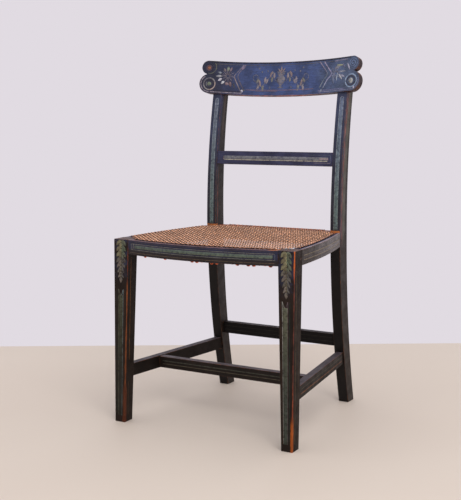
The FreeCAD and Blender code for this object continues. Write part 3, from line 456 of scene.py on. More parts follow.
weave_cane = cane("weave_cane", (252, 186, 143), (88, 42, 26), 0.42)
binder_cane = cane("binder_cane", (214, 152, 116), (112, 62, 40), 0.42)
loop_cane = cane("loop_cane", (196, 88, 46), (186, 80, 38), 0.55)


# Meshes

def placed(name, data):
    """An object of the scene that shows some data."""
    made = bpy.data.objects.new(name, data)
    bpy.context.scene.collection.objects.link(made)
    return made


def piece(name, vertices, faces, finish, values, tints=None, stands_for=None):
    """A closed mesh of the chair, with numbers and perhaps a colour for each vertex."""
    mesh = bpy.data.meshes.new(name)
    mesh.from_pydata([tuple(part * MM for part in vertex) for vertex in vertices], [], faces)
    mesh.polygons.foreach_set("use_smooth", [True] * len(mesh.polygons))
    for key, numbers in values.items():
        mesh.attributes.new(key, "FLOAT", "POINT").data.foreach_set("value", numbers)
    if tints:
        flat = [part for tint in tints for part in tint]
        mesh.attributes.new("tint", "FLOAT_COLOR", "POINT").data.foreach_set("color", flat)
    mesh.materials.append(finish)
    mesh.update()
    made = placed(name, mesh)
    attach(made, "root")
    if stands_for:
        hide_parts(stands_for)


def ring_faces(start, rings, size):
    """Quads between rings of vertices, and a cap at each end."""
    faces = []
    for ring in range(rings - 1):
        low, high = start + ring * size, start + (ring + 1) * size
        for corner in range(size):
            after = (corner + 1) % size
            faces.append((low + corner, low + after, high + after, high + corner))
    faces.append(tuple(start + corner for corner in reversed(range(size))))
    faces.append(tuple(start + (rings - 1) * size + corner for corner in range(size)))
    return faces


def steps(start, end, count):
    """Numbers from start to end in so many equal steps."""
    return [start + (end - start) * turn / count for turn in range(count + 1)]


def straight(start, end, step):
    """Points from start to end, no closer than a step."""
    count = max(int(math.dist(start, end) / step), 1)
    return list(zip(*(steps(near, far, count) for near, far in zip(start, end))))


def neighbours(points, place):
    """The points before and after one of a row, or the point itself at the row's end."""
    return points[max(place - 1, 0)], points[min(place + 1, len(points) - 1)]


# Ornament

SIDES = (("right", 1), ("left", -1))
PROUD_EDGE, PROUD_MIDDLE, SUNK = 0.05, 0.18, 0.12
LEAST_HALF = 0.15
LINE_STEP, EDGE_STEP, BENT_STEP, ARC_STEP = 6.0, 7.0, 3.0, 9.0
LEAF_STEPS = 6
RAY_COUNT, RAY_WIDTH, HUB_RADIUS = 20, 1.9, 3.5


class Stencil:
    """Painted strokes on a node's face, drawn in millimetres along right and up, looking toward the face."""

    def __init__(self, node, toward=(0, 1, 0), right=(1, 0, 0), up=(0, 0, 1), origin=(0, 0, 0)):
        mesh = NODES[node].data
        self.tree = BVHTree.FromPolygons([vertex.co.copy() for vertex in mesh.vertices],
                                         [tuple(face.vertices) for face in mesh.polygons])
        self.toward, self.right, self.up = Vector(toward), Vector(right), Vector(up)
        self.origin = Vector(origin) * MM - self.toward
        self.vertices, self.faces, self.inset, self.tints = [], [], [], []

    def drop(self, across, height):
        """Where a point of the drawing lands on the face, and the way the face looks there."""
        start = self.origin + self.right * (across * MM) + self.up * (height * MM)
        hit, normal, _, _ = self.tree.ray_cast(start, self.toward)
        if hit is None:
            raise ValueError(f"{across:.1f}, {height:.1f} is off the face")
        if normal.dot(self.toward) > 0:
            normal.negate()
        return hit / MM, normal

    def stroke(self, points, width, colour):
        """A stroke along points; its width and its colour are one or a list, one for each point."""
        widths = width if isinstance(width, list) else [width] * len(points)
        colours = colour if isinstance(colour, list) else [colour] * len(points)
        first = len(self.vertices)
        for place, (across, height) in enumerate(points):
            before, after = neighbours(points, place)
            run = Vector((after[0] - before[0], after[1] - before[1])).normalized()
            half = max(widths[place] / 2, LEAST_HALF)
            left, middle, right = (self.drop(across - run.y * aside, height + run.x * aside)
                                   for aside in (half, 0, -half))
            lifts = ((left, PROUD_EDGE), (middle, PROUD_MIDDLE), (right, PROUD_EDGE), (right, -SUNK),
                     (left, -SUNK))
            self.vertices += [hit + normal * lift for (hit, normal), lift in lifts]
            self.inset += [0.0, half, 0.0, 0.0, 0.0]
            self.tints += [lit(colours[place])] * len(lifts)
        self.faces += ring_faces(first, len(points), len(lifts))

    def lines(self, rows):
        """Straight strokes, divided to follow a bowed face: each from x, y to x, y, a width and a colour."""
        for x, y, end_x, end_y, width, *colour in rows:
            self.stroke(straight((x, y), (end_x, end_y), LINE_STEP), width, tuple(colour))

    def bent(self, width, corners):
        """A stroke through corners, each x, y and a colour, that changes colour from each to the next."""
        points, colours = [], []
        for corner, after in zip(corners, corners[1:]):
            stretch = straight(corner[:2], after[:2], BENT_STEP)
            shares = steps(0, 1, len(stretch) - 1)
            points[-1:] = stretch
            colours[-1:] = [blend(corner[2:], after[2:], share) for share in shares]
        self.stroke(points, width, colours)

    def dot(self, centre, radius, colour, tall=1.0):
        angles = steps(0, math.pi, 6)
        points = [(centre[0], centre[1] - radius * tall * math.cos(angle)) for angle in angles]
        self.stroke(points, [2 * radius * math.sin(angle) for angle in angles], colour)

    def leaf(self, base, angle, length, width, colour, curl=0.0):
        """A leaf from its base; the angle is in degrees from rightward, and curl bends its tip."""
        points, widths = [base], [width * 0.2]
        x, y = base
        step = length / LEAF_STEPS
        for share in steps(0, 1, LEAF_STEPS)[1:]:
            heading = math.radians(angle + curl * share)
            x, y = x + step * math.cos(heading), y + step * math.sin(heading)
            points.append((x, y))
            widths.append(width * math.sin(math.pi * (0.12 + 0.86 * share)))
        self.stroke(points, widths, colour)

    def leaves(self, rows):
        """Leaves, each from a root x, y to a tip x, y, with a width and a colour."""
        for x, y, tip_x, tip_y, width, *colour in rows:
            angle = math.degrees(math.atan2(tip_y - y, tip_x - x))
            self.leaf((x, y), angle, math.dist((x, y), (tip_x, tip_y)), width, tuple(colour))

    def rays(self, hub, reach, bright, dim):
        """The fine lines of a fan, longer and brighter in every second place."""
        for ray in range(RAY_COUNT):
            heading = 2 * math.pi * (ray + 0.5) / RAY_COUNT
            run = Vector((math.cos(heading), math.sin(heading)))
            far, hue = (reach, bright) if ray % 2 else (reach - 3, dim)
            self.lines([(*(Vector(hub) + run * HUB_RADIUS), *(Vector(hub) + run * far), RAY_WIDTH, *hue)])

    def make(self, name, look, slot="painted_frame"):
        """The strokes as one piece, over the paint that the wood under them has."""
        finish = painted(name.replace("_ornament", "_stencil").replace("_lines", "_stencil"), look, True)
        piece(name, self.vertices, self.faces, finish, {"inset": self.inset}, self.tints)


def arc(centre, radius, start, end, grow=0.0):
    """Points round a centre, in degrees from rightward; grow is added to the radius by the end."""
    count = max(int(abs(end - start) / ARC_STEP), 2)
    angles = steps(math.radians(start), math.radians(end), count)
    return [(centre[0] + reach * math.cos(angle), centre[1] + reach * math.sin(angle))
            for angle, reach in zip(angles, steps(radius, radius + grow, count))]


def flipped(points, side):
    return [(x * side, y) for x, y in points]


def ruled(name, node, look, rows, beside=0):
    """A piece of straight lines on a node's front, or on a side: beside is the way to look, 1 or -1."""
    drawing = Stencil(node, (beside, 0, 0), (0, 1, 0)) if beside else Stencil(node)
    drawing.lines(rows)
    drawing.make(name, look)


# Stripes and leaf drops on the front legs; shares run from a leg's inner arris, 0, to its outer one, 1

LEAF_HUES = ((116, 110, 86), (90, 93, 78), (104, 96, 76), (82, 90, 74))
LOW_LEAF_HUES = ((108, 98, 90), (88, 84, 80), (98, 92, 84), (82, 78, 74))
STRIPE_FOOT = 16
LEAF_TOP, LEAF_DROP = 436, 13.5

for side, sign, edges, stripe_top, low, high, edge_hues in (
        ("right", 1, (0.24, 0.60), 329, (60, 64, 56), (88, 88, 72), ((150, 146, 138), (96, 80, 84))),
        ("left", -1, (0.31, 0.66), 320, (40, 38, 32), (70, 72, 56), ((110, 120, 120), (96, 94, 78)))):
    node = "front_leg_" + side
    drawing = Stencil(node)

    def leg_spot(share, height):
        """A point of the leg's front."""
        inner = LEG_FOOT_INNER + (LEG_TOP_INNER - LEG_FOOT_INNER) * height / SEAT_TOP
        return (sign * (inner + (LEG_OUTER - inner) * share), height)

    middle = sum(edges) / 2
    heights = steps(STRIPE_FOOT, stripe_top, 24)
    wide = [(edges[1] - edges[0]) * (LEG_OUTER - leg_spot(0, height)[0] * sign) for height in heights]
    fill = [blend(low, high, (height - 120) / 200) for height in heights]
    drawing.stroke([leg_spot(middle, height) for height in heights[:-1]], wide[:-1], fill[:-1])
    for share, hue in zip(edges, edge_hues):
        fading = [blend(blend(hue, low, 0.4), hue, (height - 150) / 160) for height in heights]
        drawing.stroke([leg_spot(share, height) for height in heights], 1.7, fading)
        drawing.stroke([leg_spot(share, stripe_top), leg_spot((share + middle) / 2, stripe_top - 9),
                        leg_spot(middle, stripe_top - 17)], 1.6, hue)
    for share, width, hue in ((edges[1] + 0.13, 1.3, (34, 62, 56)), (edges[0] - 0.11, 1.1, (78, 56, 42))):
        drawing.stroke([leg_spot(share, height) for height in heights], width, hue)
    stem = [leg_spot(0.5, height) for height in steps(345, 435, 10)]
    drawing.stroke(stem, 2.2, [blend((98, 90, 66), (168, 160, 118), (z - 392) / 24) for _, z in stem])
    for tier in range(7):
        root = leg_spot(0.5, LEAF_TOP - LEAF_DROP * tier)
        size = 1.0 if tier < 4 else 1.0 - 0.13 * (tier - 3)
        hues = LEAF_HUES if tier < 3 else LOW_LEAF_HUES
        for way in (1, -1):
            drawing.leaf(root, -90 + way * 68, 18.5 * size, 9.6 * size, hues[(2 * tier + (way > 0)) % 4],
                         curl=-way * 40)
            drawing.leaf((root[0], root[1] - 6), -90 + way * 40, 15.0 * size, 6.8 * size,
                         hues[(2 * tier + (way < 0) + 1) % 4], curl=-way * 22)
    drawing.leaf(leg_spot(0.5, 350), -90, 15, 9.0, LOW_LEAF_HUES[0])
    drawing.make("leg_ornament_" + side, LEG)
    ruled("leg_side_lines_" + side, node, LEG, [
        (-203.5, 16, -194.5, 396, 1.8, 104, 84, 56),
        (-189.5, 16, -180.5, 396, 1.4, 84, 68, 48)], beside=-sign)
    ruled("leg_inner_lines_" + side, node, LEG, [
        (-197.5, 150, -191.5, 396, 1.8, 124, 82, 48),
        (-201.5, 16, -200.0, 98, 1.6, 84, 60, 36)], beside=sign)

# Stripes on the posts, round at the top

STRIPE_HALF = 4.5
STRIPE_BOTTOM, STRIPE_TOP = 443, 764

for side, sign in SIDES:
    drawing = Stencil("rear_post_" + side)
    middle = sign * POST_MIDDLE + 0.9
    levels = steps(STRIPE_BOTTOM, STRIPE_TOP, 40)
    high = (102, 112, 134) if sign > 0 else (100, 106, 122)
    fill = [blend((90, 105, 104), high, (level - 520) / 230) for level in levels]
    edge = [blend((144, 158, 154), (156, 164, 176), (level - 520) / 230) for level in levels]
    drawing.stroke([(middle, level) for level in levels], 8.6, fill)
    for offset in (-STRIPE_HALF, STRIPE_HALF):
        drawing.stroke([(middle + offset, level) for level in levels], 1.6, edge)
    drawing.stroke([(middle - STRIPE_HALF + turn, STRIPE_TOP + 2.6 * math.sin(math.pi * turn / 9))
                    for turn in range(10)], 1.6, edge[-1])
    drawing.make("post_ornament_" + side, POST)

# Bands, frame lines and fine lines on the rails and the stretchers

ruled("front_rail_ornament", "front_rail", FRONT_RAIL, [
    (-174, 423.4, 186, 423.4, 8.4, 82, 92, 82), (-172, 421.6, 184, 421.6, 1.5, 104, 108, 90),
    (-187, 430.2, 190, 430.2, 1.5, 116, 116, 104), (-187, 416.6, 190, 416.6, 1.5, 116, 116, 104),
    (-190, 434.6, 191, 434.6, 1.1, 70, 62, 50), (-190, 409.6, 191, 409.6, 1.6, 92, 76, 58),
    (-187, 416.6, -187, 430.2, 1.5, 96, 104, 116), (190, 416.6, 190, 430.2, 1.5, 96, 104, 116),
    (-183.5, 416.6, -183.5, 430.2, 1.6, 158, 152, 142), (-177, 416.6, -177, 430.2, 1.6, 158, 152, 142)])

drawing = Stencil("stay_rail")
drawing.lines([
    (-144, 614.8, 150, 614.8, 10.4, 106, 106, 110), (-143, 610.4, 149, 610.4, 2.4, 174, 168, 152),
    (-143, 619.4, 149, 619.4, 1.8, 132, 132, 138), (-145, 614.8, -136, 614.8, 9.4, 184, 154, 156),
    (127, 615.4, 151, 615.4, 8.0, 150, 126, 128)])
for x in (-132, -118, -104, -88):
    drawing.dot((x, 615.6), 2.6, (132, 130, 118))
drawing.lines([
    (96, 625.2, 157, 625.2, 1.3, 96, 104, 120), (157, 606.0, 157, 625.2, 1.5, 110, 116, 134),
    (112, 606.0, 157, 606.0, 1.6, 128, 118, 130), (-157, 606.0, -157, 625.2, 1.2, 84, 86, 112)])
drawing.make("stay_ornament", STAY)

ruled("cross_stretcher_lines", "cross_stretcher", CROSS_BAR, [
    (-190, 115.6, 190, 115.6, 1.8, 88, 80, 62), (-190, 123.0, 190, 123.0, 2.4, 68, 70, 58)])
ruled("rear_stretcher_lines", "rear_stretcher", REAR_BAR, [
    (-158, 158, 158, 158, 1.4, 50, 46, 38), (-158, 168, 158, 168, 1.4, 50, 46, 38)])
for side, sign in SIDES:
    ruled("side_stretcher_lines_" + side, "side_stretcher_" + side, SIDE_BAR, [
        (-156, 115, 160, 115, 2.2, 124, 74, 42), (-156, 125, 160, 125, 1.6, 80, 72, 54)], beside=-sign)
    ruled("side_rail_lines_" + side, "side_rail_" + side, SIDE_RAIL, [
        (-156, 427.4, 128, 427.4, 1.5, 40, 35, 38), (-156, 424.6, 128, 424.6, 2.2, 128, 114, 90),
        (-156, 414.6, 128, 414.6, 2.2, 122, 106, 82),
        (-156, 411.6, 128, 411.6, 1.5, 38, 33, 34)], beside=-sign)

# The crest's ornament, drawn in the plane of its board: x and the height above its floor line

crest = Stencil("crest_rail", (0, math.cos(CREST_LEAN), -math.sin(CREST_LEAN)),
                up=(0, math.sin(CREST_LEAN), math.cos(CREST_LEAN)), origin=(0, CREST_BASE_Y, CREST_BASE_Z))


def crest_bottom(x):
    return CREST_DISH * ((x / CREST_EDGE_HALF) ** 2 - 1)


def crest_top(x):
    return CREST_HEIGHT + crest_bottom(x)


def along_crest(edge, inset, start, end):
    """Points beside the crest's top or bottom edge, from x to x."""
    count = max(int(abs(end - start) / EDGE_STEP), 2)
    return [(x, edge(x) + inset) for x in steps(start, end, count)]


# Volutes, and the border that runs from them along the bottom edge

left_low, left_high, right_low, right_high = (-197.8, 24.2), (-201.2, 65.8), (200.2, 24.8), (203, 68.4)
dim, mid, bright = (108, 104, 110), (132, 128, 128), (170, 152, 144)
ring = arc(left_low, 15.2, 150, -230)
shades = [dim] * 10 + [mid] * 5 + [bright] * 13 + [mid] * 8
crest.stroke(ring, 3.6, (shades + [dim] * len(ring))[:len(ring)])
crest.stroke(arc(left_low, 10.6, 0, 352), 3.4, (44, 42, 54))
crest.dot((left_low[0] - 8.2, left_low[1] - 0.5), 3.0, (108, 108, 114), tall=2.0)
crest.dot(left_low, 5.6, (124, 132, 110))
ring = arc((-198, 67.5), 16.3, 40, -112)
crest.stroke(ring, 2.8, [blend((112, 110, 90), (80, 84, 84), turn / 16) for turn in range(len(ring))])
crest.stroke(arc(left_high, 11.0, 0, 352), 4.4, (40, 42, 62))
crest.stroke(arc(left_high, 6.6, 0, 352), 3.6, (86, 68, 80))
crest.dot(left_high, 4.8, (142, 92, 70))
crest.stroke(arc(right_low, 15.6, 180, -172), 4.2, (126, 142, 166))
crest.stroke(arc(right_low, 11.0, 0, 352), 3.2, (54, 50, 64))
crest.dot(right_low, 6.6, (158, 158, 156))
crest.stroke(arc(right_high, 12.6, -70, 700, grow=-11), 2.4, (108, 126, 162))
for sign, start, line_hue, band_hue in (
        (-1, 60, (138, 128, 138), (44, 42, 56)), (1, 20, (120, 120, 148), (112, 112, 148))):
    around = arc((199.6, 25), 21.0, start, -92) + along_crest(crest_bottom, 4.2, 190, 108)
    crest.stroke(flipped(around, sign), 2.9, line_hue)
    crest.stroke(flipped(along_crest(crest_bottom, 8.0, 186, 108), sign), 2.6, band_hue)
crest.dot((-107.6, 5.4), 3.6, (176, 172, 182), tall=1.3)
crest.dot((-101, 8.4), 1.8, (104, 106, 78))
crest.dot((209.4, 7.4), 2.4, (202, 192, 202))

# Fans between the volutes and the chevrons

crest.rays((-149.2, 45.0), 18.5, (128, 120, 130), (98, 92, 106))
crest.rays((155.5, 44.0), 15.5, (122, 122, 140), (100, 104, 126))
crest.leaves([
    (-165.5, 52.4, -178, 54.8, 6.6, 124, 130, 140), (-164, 44.5, -182, 44.6, 7.0, 150, 150, 156),
    (-164.5, 38.0, -175.5, 33.0, 7.6, 198, 194, 202), (-157.5, 31.5, -166.5, 24.5, 7.8, 184, 184, 188),
    (-155.5, 26.5, -144, 23.2, 8.6, 138, 116, 120), (-142.5, 31, -138.6, 15.5, 7.6, 118, 94, 94),
    (-149.4, 57.5, -148.6, 70.5, 8.4, 130, 138, 120), (-155, 56, -161.5, 66, 6.4, 120, 110, 114),
    (-143.4, 56.5, -138.4, 68.5, 6.6, 124, 108, 118), (-132, 26, -128, 12, 4.0, 78, 74, 70),
    (160.5, 47, 158.4, 24.5, 4.2, 172, 186, 202), (163.5, 43, 174.5, 28.5, 5.0, 178, 178, 184),
    (167.5, 40.5, 182, 35, 6.2, 152, 152, 170), (165, 48, 184, 49.5, 4.6, 140, 142, 154),
    (155.5, 64.6, 178, 64.2, 5.0, 136, 138, 114), (151, 57, 168, 62, 7.6, 112, 112, 124),
    (147, 41, 151, 18, 7.6, 100, 108, 132), (187, 68.5, 195.5, 50, 5.6, 148, 148, 168),
    (150, 48, 143.6, 60, 4.6, 96, 102, 124), (181, 57, 173, 70, 4.6, 104, 102, 128)])

# Chevrons

crest.bent(3.2, [(-107, 73, 114, 106, 124), (-124, 54, 110, 106, 122), (-130.2, 47, 116, 108, 120),
                 (-130.4, 41, 134, 120, 126), (-126, 32, 136, 124, 128), (-112, 7, 118, 110, 112)])
crest.bent(2.9, [(-101, 73, 100, 94, 116), (-117, 55, 120, 110, 130), (-121.0, 48, 112, 108, 124),
                 (-121.2, 42, 106, 100, 116), (-117, 33, 100, 92, 106), (-102, 7, 80, 76, 90)])
crest.leaves([(-113, 61, -101, 74, 9.0, 122, 110, 132)])
crest.bent(3.8, [(121, 75, 138, 128, 150), (138, 53, 134, 128, 152), (143.4, 47, 128, 124, 152),
                 (142.4, 41, 124, 122, 152), (132, 30, 150, 150, 180), (120, 8, 134, 142, 156)])
crest.bent(3.4, [(108, 76, 134, 126, 148), (126, 54, 122, 118, 142), (131.4, 47, 104, 110, 130),
                 (130.4, 40, 96, 106, 120), (121, 29, 98, 108, 122), (112, 11, 118, 126, 138)])
crest.dot((117, 4.6), 2.6, (156, 166, 168))

# Lines along the top and bottom edges

crest.lines([(150, 74.8, 188, 78.0, 3.2, 122, 118, 138)])
for edge, inset, start, end, width, *hue in (
        (crest_top, -7.4, -186, 146, 1.6, 96, 92, 88), (crest_top, -2.2, -196, 196, 3.4, 36, 36, 46),
        (crest_bottom, 13.2, -96, 94, 2.2, 130, 108, 120), (crest_bottom, 10.4, -70, -8, 1.6, 118, 98, 108)):
    crest.stroke(along_crest(edge, inset, start, end), width, tuple(hue))

# A footed urn with leafy sprays in the middle, faded and soft

URN, URN_PALE = (112, 108, 116), (140, 130, 134)
SPRAY, SPRAY_WARM, SPRAY_GOLD = (104, 104, 118), (132, 116, 116), (118, 116, 108)
profile = [(13, 17), (15, 15), (17, 7), (20, 6), (24, 12), (29, 21), (35, 26), (40, 23), (44, 14), (47, 16),
           (50, 21)]
crest.stroke([(0, height) for height, _ in profile], [width for _, width in profile], URN)
crest.lines([(-10, 36, 10, 36, 2.0, *URN_PALE)])
crest.leaf((3, 28), 90, 14, 5.0, SPRAY_GOLD)
for angle, length in ((90, 20), (60, 18), (120, 18), (32, 15), (148, 15), (8, 12), (172, 12)):
    crest.leaf((0, 50), angle, length, 5.2, SPRAY_WARM if length > 16 else SPRAY, curl=(90 - angle) * -0.35)
for sign in (1, -1):
    vine = [(13 + 57 * share, 30 + 12 * math.sin(2 * math.pi * share)) for share in steps(0, 1, 20)]
    crest.stroke(flipped(vine, sign), 2.2, SPRAY)
    crest.stroke(flipped(arc((70, 41), 10, -95, 250, grow=-6), sign), 2.2, SPRAY)
    for turn, lean, length in ((2, 75, 14), (4, -70, 12), (6, 95, 15), (8, -50, 13), (11, 80, 15),
                               (13, -80, 14), (15, 60, 16), (17, -60, 13), (19, 100, 13)):
        x, y = vine[turn]
        crest.leaf((sign * x, y), lean if sign > 0 else 180 - lean, length * 1.15, 7.2,
                   (SPRAY_WARM, SPRAY_GOLD, URN_PALE)[turn % 3], curl=sign * (30 if lean > 0 else -30))
    for x, y in ((22, 52), (38, 57), (54, 55), (62, 64), (30, 15), (48, 18), (64, 20)):
        crest.dot((sign * x, y), 2.6, SPRAY)
crest.make("crest_ornament", CREST, "painted_crest")


# The woven seat: pairs of strands both ways, each over one strand and under the other of every pair it
# crosses, and diagonals that wave over and under them

WEAVE_Z = SEAT_TOP + 1.2
PAIR_HALF = 1.35
PAIR_LIFT = 0.33
DIAGONAL_LIFT = 0.8
END_DROP = -0.3
STRAND_WIDTH, DIAGONAL_WIDTH, STRAND_THICKNESS = 2.1, 2.4, 0.62
STRAND_COUNT = 20
HOLE_INSET, FRONT_MARGIN, REAR_MARGIN = 13, 15, 28
TIE_PITCH = 12.4
FAR, SHORTEST = 1000.0, 6
rng = random.Random(11)


def bowed(start, end, sagitta, margins, count=16):
    """Points along a bowed rail, a hole's inset from its outer face; outward is to the right of the way."""
    start, end = Vector(start), Vector(end)
    length = (end - start).length
    run = (end - start) / length
    outward = Vector((run.y, -run.x))
    radius = ((length / 2) ** 2 + sagitta ** 2) / (2 * sagitta)
    points = []
    for reach in steps(margins[0], length - margins[1], count):
        rise = math.sqrt(radius ** 2 - (reach - length / 2) ** 2) - (radius - sagitta)
        points.append(start + run * reach + outward * (rise - HOLE_INSET))
    return points


rear_x, rear_y = POST_INNER - REAR_MARGIN, span("rear_rail", 1)[1] - HOLE_INSET
right_line = bowed((LEG_OUTER - 1, LEG_BACK), (POST_OUTER, POST_FRONT), 8, (FRONT_MARGIN, REAR_MARGIN))
hole_lines = {
    "front": bowed((-LEG_TOP_INNER, FRONT_Y), (LEG_TOP_INNER, FRONT_Y), 26, (FRONT_MARGIN, FRONT_MARGIN)),
    "right": right_line,
    "rear": [Vector((x, rear_y)) for x in steps(rear_x, -rear_x, 20)],
    "left": [Vector((-point.x, point.y)) for point in reversed(right_line)]}
seat_outline = [point for line in hole_lines.values() for point in line]


def clipped(point, run):
    """The stretch of a line inside the seat's convex outline, as distances from the point."""
    low, high = -FAR, FAR
    for corner, after in zip(seat_outline, seat_outline[1:] + seat_outline[:1]):
        edge = after - corner
        inward = Vector((-edge.y, edge.x))
        gap, speed = inward.dot(point - corner), inward.dot(run)
        if abs(speed) < 1e-9:
            if gap < 0:
                return None
        elif speed > 0:
            low = max(low, -gap / speed)
        else:
            high = min(high, -gap / speed)
    return (low, high) if high - low > SHORTEST else None


class Strands:
    """Strips of cane gathered into one mesh."""

    def __init__(self):
        self.vertices, self.faces, self.tone = [], [], []

    def strand(self, points, width, thickness, tone):
        first = len(self.vertices)
        for place, point in enumerate(points):
            before, after = neighbours(points, place)
            run = (after - before).normalized()
            aside = Vector((-run.y, run.x, 0)).normalized() * width / 2
            rise = Vector((0, 0, thickness / 2))
            self.vertices += [point + aside, point + rise, point - aside, point - rise]
        self.tone += [tone] * (len(points) * 4)
        self.faces += ring_faces(first, len(points), 4)

    def across_seat(self, start, run, stops, height, width, tones):
        """A strand on a line over the seat, with points at the given distances along it."""
        stretch = clipped(start, run)
        if stretch is None:
            return
        low, high = stretch
        inner = [stop for stop in stops if low + 1.0 < stop < high - 1.0]
        points = []
        for stop in [low] + inner + [high]:
            spot = start + run * stop
            lift = height(stop) if low < stop < high else END_DROP
            points.append(Vector((spot.x, spot.y, WEAVE_Z + lift)))
        self.strand(points, width, STRAND_THICKNESS, tones[0] + (tones[1] - tones[0]) * rng.random())

    def make(self, name, finish, stands_for):
        piece(name, self.vertices, self.faces, finish, {"tone": self.tone}, None, stands_for)


weave = Strands()
# Tone ranges by kind of strand: the pairs are kept darker than the diagonals on top, as painted shade on
# strands lying beneath; the spread within a range is the cane's own variation
for backward, offset, tones in ((1, 0.5, (0.15, 0.6)), (0, 0.0, (0.1, 0.5))):
    for line in range(-STRAND_COUNT, STRAND_COUNT):
        for turn in (-1, 1):
            across = (line + offset) * PITCH + turn * PAIR_HALF
            start = (across, SEAT_MIDDLE_Y) if backward else (0, SEAT_MIDDLE_Y + across)
            lifts = {}
            for node in range(-STRAND_COUNT, STRAND_COUNT):
                for way in (-1, 1):
                    stop = (node + 0.5 - offset) * PITCH + way * PAIR_HALF
                    lifts[stop] = PAIR_LIFT * turn * way * (1 if backward else -1)
                lifts[(node + offset) * PITCH] = 0.0
            weave.across_seat(Vector(start), Vector((1 - backward, backward)), sorted(lifts), lifts.get,
                              STRAND_WIDTH, tones)
diagonal = math.sqrt(0.5)
quarters = [turn * PITCH / 4 / diagonal for turn in range(-90, 91)]
for line in range(-40, 41):
    # The slope-1 diagonals are darker than the slope -1 ones, painted shade on the diagonals lying beneath
    for slope, tones in ((1, (0.2, 0.55)), (-1, (0.75, 1.0))):
        def wave(stop):
            return slope * DIAGONAL_LIFT * math.cos(2 * math.pi * stop * diagonal / PITCH)

        weave.across_seat(Vector((0, SEAT_MIDDLE_Y + line * PITCH)), Vector((diagonal, slope * diagonal)),
                          quarters, wave, DIAGONAL_WIDTH, tones)
weave.make("cane_weave", weave_cane, "cane_panel")


def reaches(line):
    """How far along a line each of its points lies."""
    found = [0.0]
    for before, after in zip(line, line[1:]):
        found.append(found[-1] + (after - before).length)
    return found


# The binders, with a tie over them at each hole

BINDER_WIDTH, BINDER_THICKNESS, BINDER_TONE = 5.4, 1.4, 0.6
TIE_WIDTH, TIE_THICKNESS = 2.0, 0.6
TIE_SHAPE = ((-3.3, -1.2), (-2.2, 0.35), (0, 0.95), (2.2, 0.35), (3.3, -1.2))

for edge, line in hole_lines.items():
    binder = Strands()
    along = [Vector((point.x, point.y, SEAT_TOP + 2)) for point in line]
    binder.strand(along, BINDER_WIDTH, BINDER_THICKNESS, BINDER_TONE)
    length = reaches(line)[-1]
    for reach in steps(0, length, round(length / TIE_PITCH)):
        for before, after in zip(along, along[1:]):
            stretch = (after - before).length
            if reach <= stretch + 1e-6:
                spot = before.lerp(after, reach / stretch)
                break
            reach -= stretch
        run = (after - before).normalized()
        aside = Vector((-run.y, run.x, 0))
        strip = [spot + aside * share + Vector((0, 0, lift)) for share, lift in TIE_SHAPE]
        binder.strand(strip, TIE_WIDTH, TIE_THICKNESS, rng.random())
    binder.make("cane_edging_" + edge, binder_cane, "cane_binder_" + edge)

# Turns of cane from hole to hole under the rails; in front some sag, at these places in x

SLACK = (-147.5, -93, -12.5, 3.5, 36.5, 54, 97, 129.5, 141.5, 170)
SLACK_REACH = 6.5
TURN_WIDTH, TURN_STEPS = 3.2, 6

for edge, line in hole_lines.items():
    loops = Strands()
    starts = reaches(line)
    count = round(starts[-1] / TIE_PITCH)
    for loop in range(count):
        slack, thickness = 0.9 + 0.7 * rng.random(), 1.7
        spots = []
        for share in steps(loop + 0.06, loop + 0.94, TURN_STEPS):
            reach = starts[-1] * share / count
            place = max(place for place, start in enumerate(starts[:-1]) if start <= reach)
            share = (reach - starts[place]) / (starts[place + 1] - starts[place])
            spots.append(line[place].lerp(line[place + 1], share))
        if edge == "front" and min(abs(spots[TURN_STEPS // 2].x - x) for x in SLACK) < SLACK_REACH:
            slack, thickness = 2.6 + 0.8 * rng.random(), 3.2
        points = []
        for turn, spot in enumerate(spots):
            sag = (slack + 0.9) * math.sin(math.pi * turn / TURN_STEPS) ** 0.5
            points.append(Vector((spot.x, spot.y, RAIL_BOTTOM + 0.6 - sag)))
        loops.strand(points, TURN_WIDTH, thickness, 0.4 + 0.6 * rng.random())
    loops.make("cane_turns_" + edge, loop_cane, "cane_loops_" + edge)


# Floor, light and camera

AZIMUTH, PITCH_DOWN, ROLL = math.radians(30.2), math.radians(7.6), math.radians(-0.4)
EYE = Vector((1.1828, -2.0958, 0.7379))
FLOOR_NEAR, FLOOR_FAR, FLOOR_HALF = -4, 3.118, 6
level = Vector((-math.sin(AZIMUTH), math.cos(AZIMUTH), 0))
rightward = Vector((math.cos(AZIMUTH), math.sin(AZIMUTH), 0))
upward = Vector((0, 0, 1))

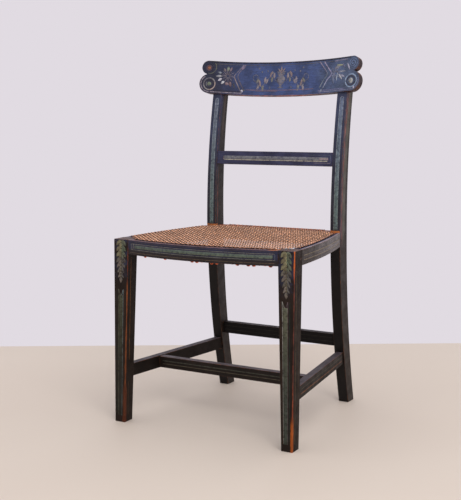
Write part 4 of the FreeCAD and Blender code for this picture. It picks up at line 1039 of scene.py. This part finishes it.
floor_mesh = bpy.data.meshes.new("floor")
corners = [Vector((EYE.x, EYE.y, 0)) + level * depth + rightward * aside
           for depth, aside in ((FLOOR_NEAR, -FLOOR_HALF), (FLOOR_NEAR, FLOOR_HALF), (FLOOR_FAR, FLOOR_HALF),
                                (FLOOR_FAR, -FLOOR_HALF))]
floor_mesh.from_pydata(corners, [], [(0, 1, 2, 3)])
graph = Finish("floor_finish")
pale = graph.mix(graph.noise(1.3, 2), (214, 198, 184), (222, 208, 194))
floor_mesh.materials.append(graph.surface(pale, 0.6, 0.3, graph.noise(200, 3), 0.05, MM))
floor = placed("floor", floor_mesh)

# The world lights the chair evenly; the camera and shiny faces see a plain wall instead

world = bpy.data.worlds.new("studio")
bpy.context.scene.world = world
studio = Graph(world)
rays = studio.node("LightPath").outputs
seen = studio.most(rays["Is Camera Ray"], rays["Is Glossy Ray"])
light = studio.node("Background", {"Color": lit((250, 250, 255)), "Strength": 0.9})
wall = studio.node("Background", {"Color": lit((225, 219, 226))})
choice = studio.node("MixShader", {0: seen, 1: light.outputs[0], 2: wall.outputs[0]})
studio.node("OutputWorld", {"Surface": choice.outputs[0]})

lamp = bpy.data.lights.new("soft_box", "AREA")
lamp.shape = "RECTANGLE"
lamp.size = lamp.size_y = 2.4
lamp.energy = 60
soft_box = placed("soft_box", lamp)
soft_box.location = (2.4, -2.2, 2.9)
aim = Vector((0, 0, 0.45)) - soft_box.location
soft_box.rotation_euler = aim.to_track_quat("-Z", "Y").to_euler()

lens = bpy.data.cameras.new("camera")
lens.sensor_width = 36
lens.lens = 72.59
lens.shift_x, lens.shift_y = -0.0014, -0.0122
camera = placed("camera", lens)
forward = level * math.cos(PITCH_DOWN) - upward * math.sin(PITCH_DOWN)
downward = -(level * math.sin(PITCH_DOWN) + upward * math.cos(PITCH_DOWN))
camera_x = rightward * math.cos(ROLL) - downward * math.sin(ROLL)
camera_y = -(rightward * math.sin(ROLL) + downward * math.cos(ROLL))
camera.matrix_world = Matrix.Translation(EYE) @ Matrix((camera_x, camera_y, -forward)).transposed().to_4x4()
bpy.context.scene.camera = camera
bpy.context.scene.view_settings.view_transform = "Standard"
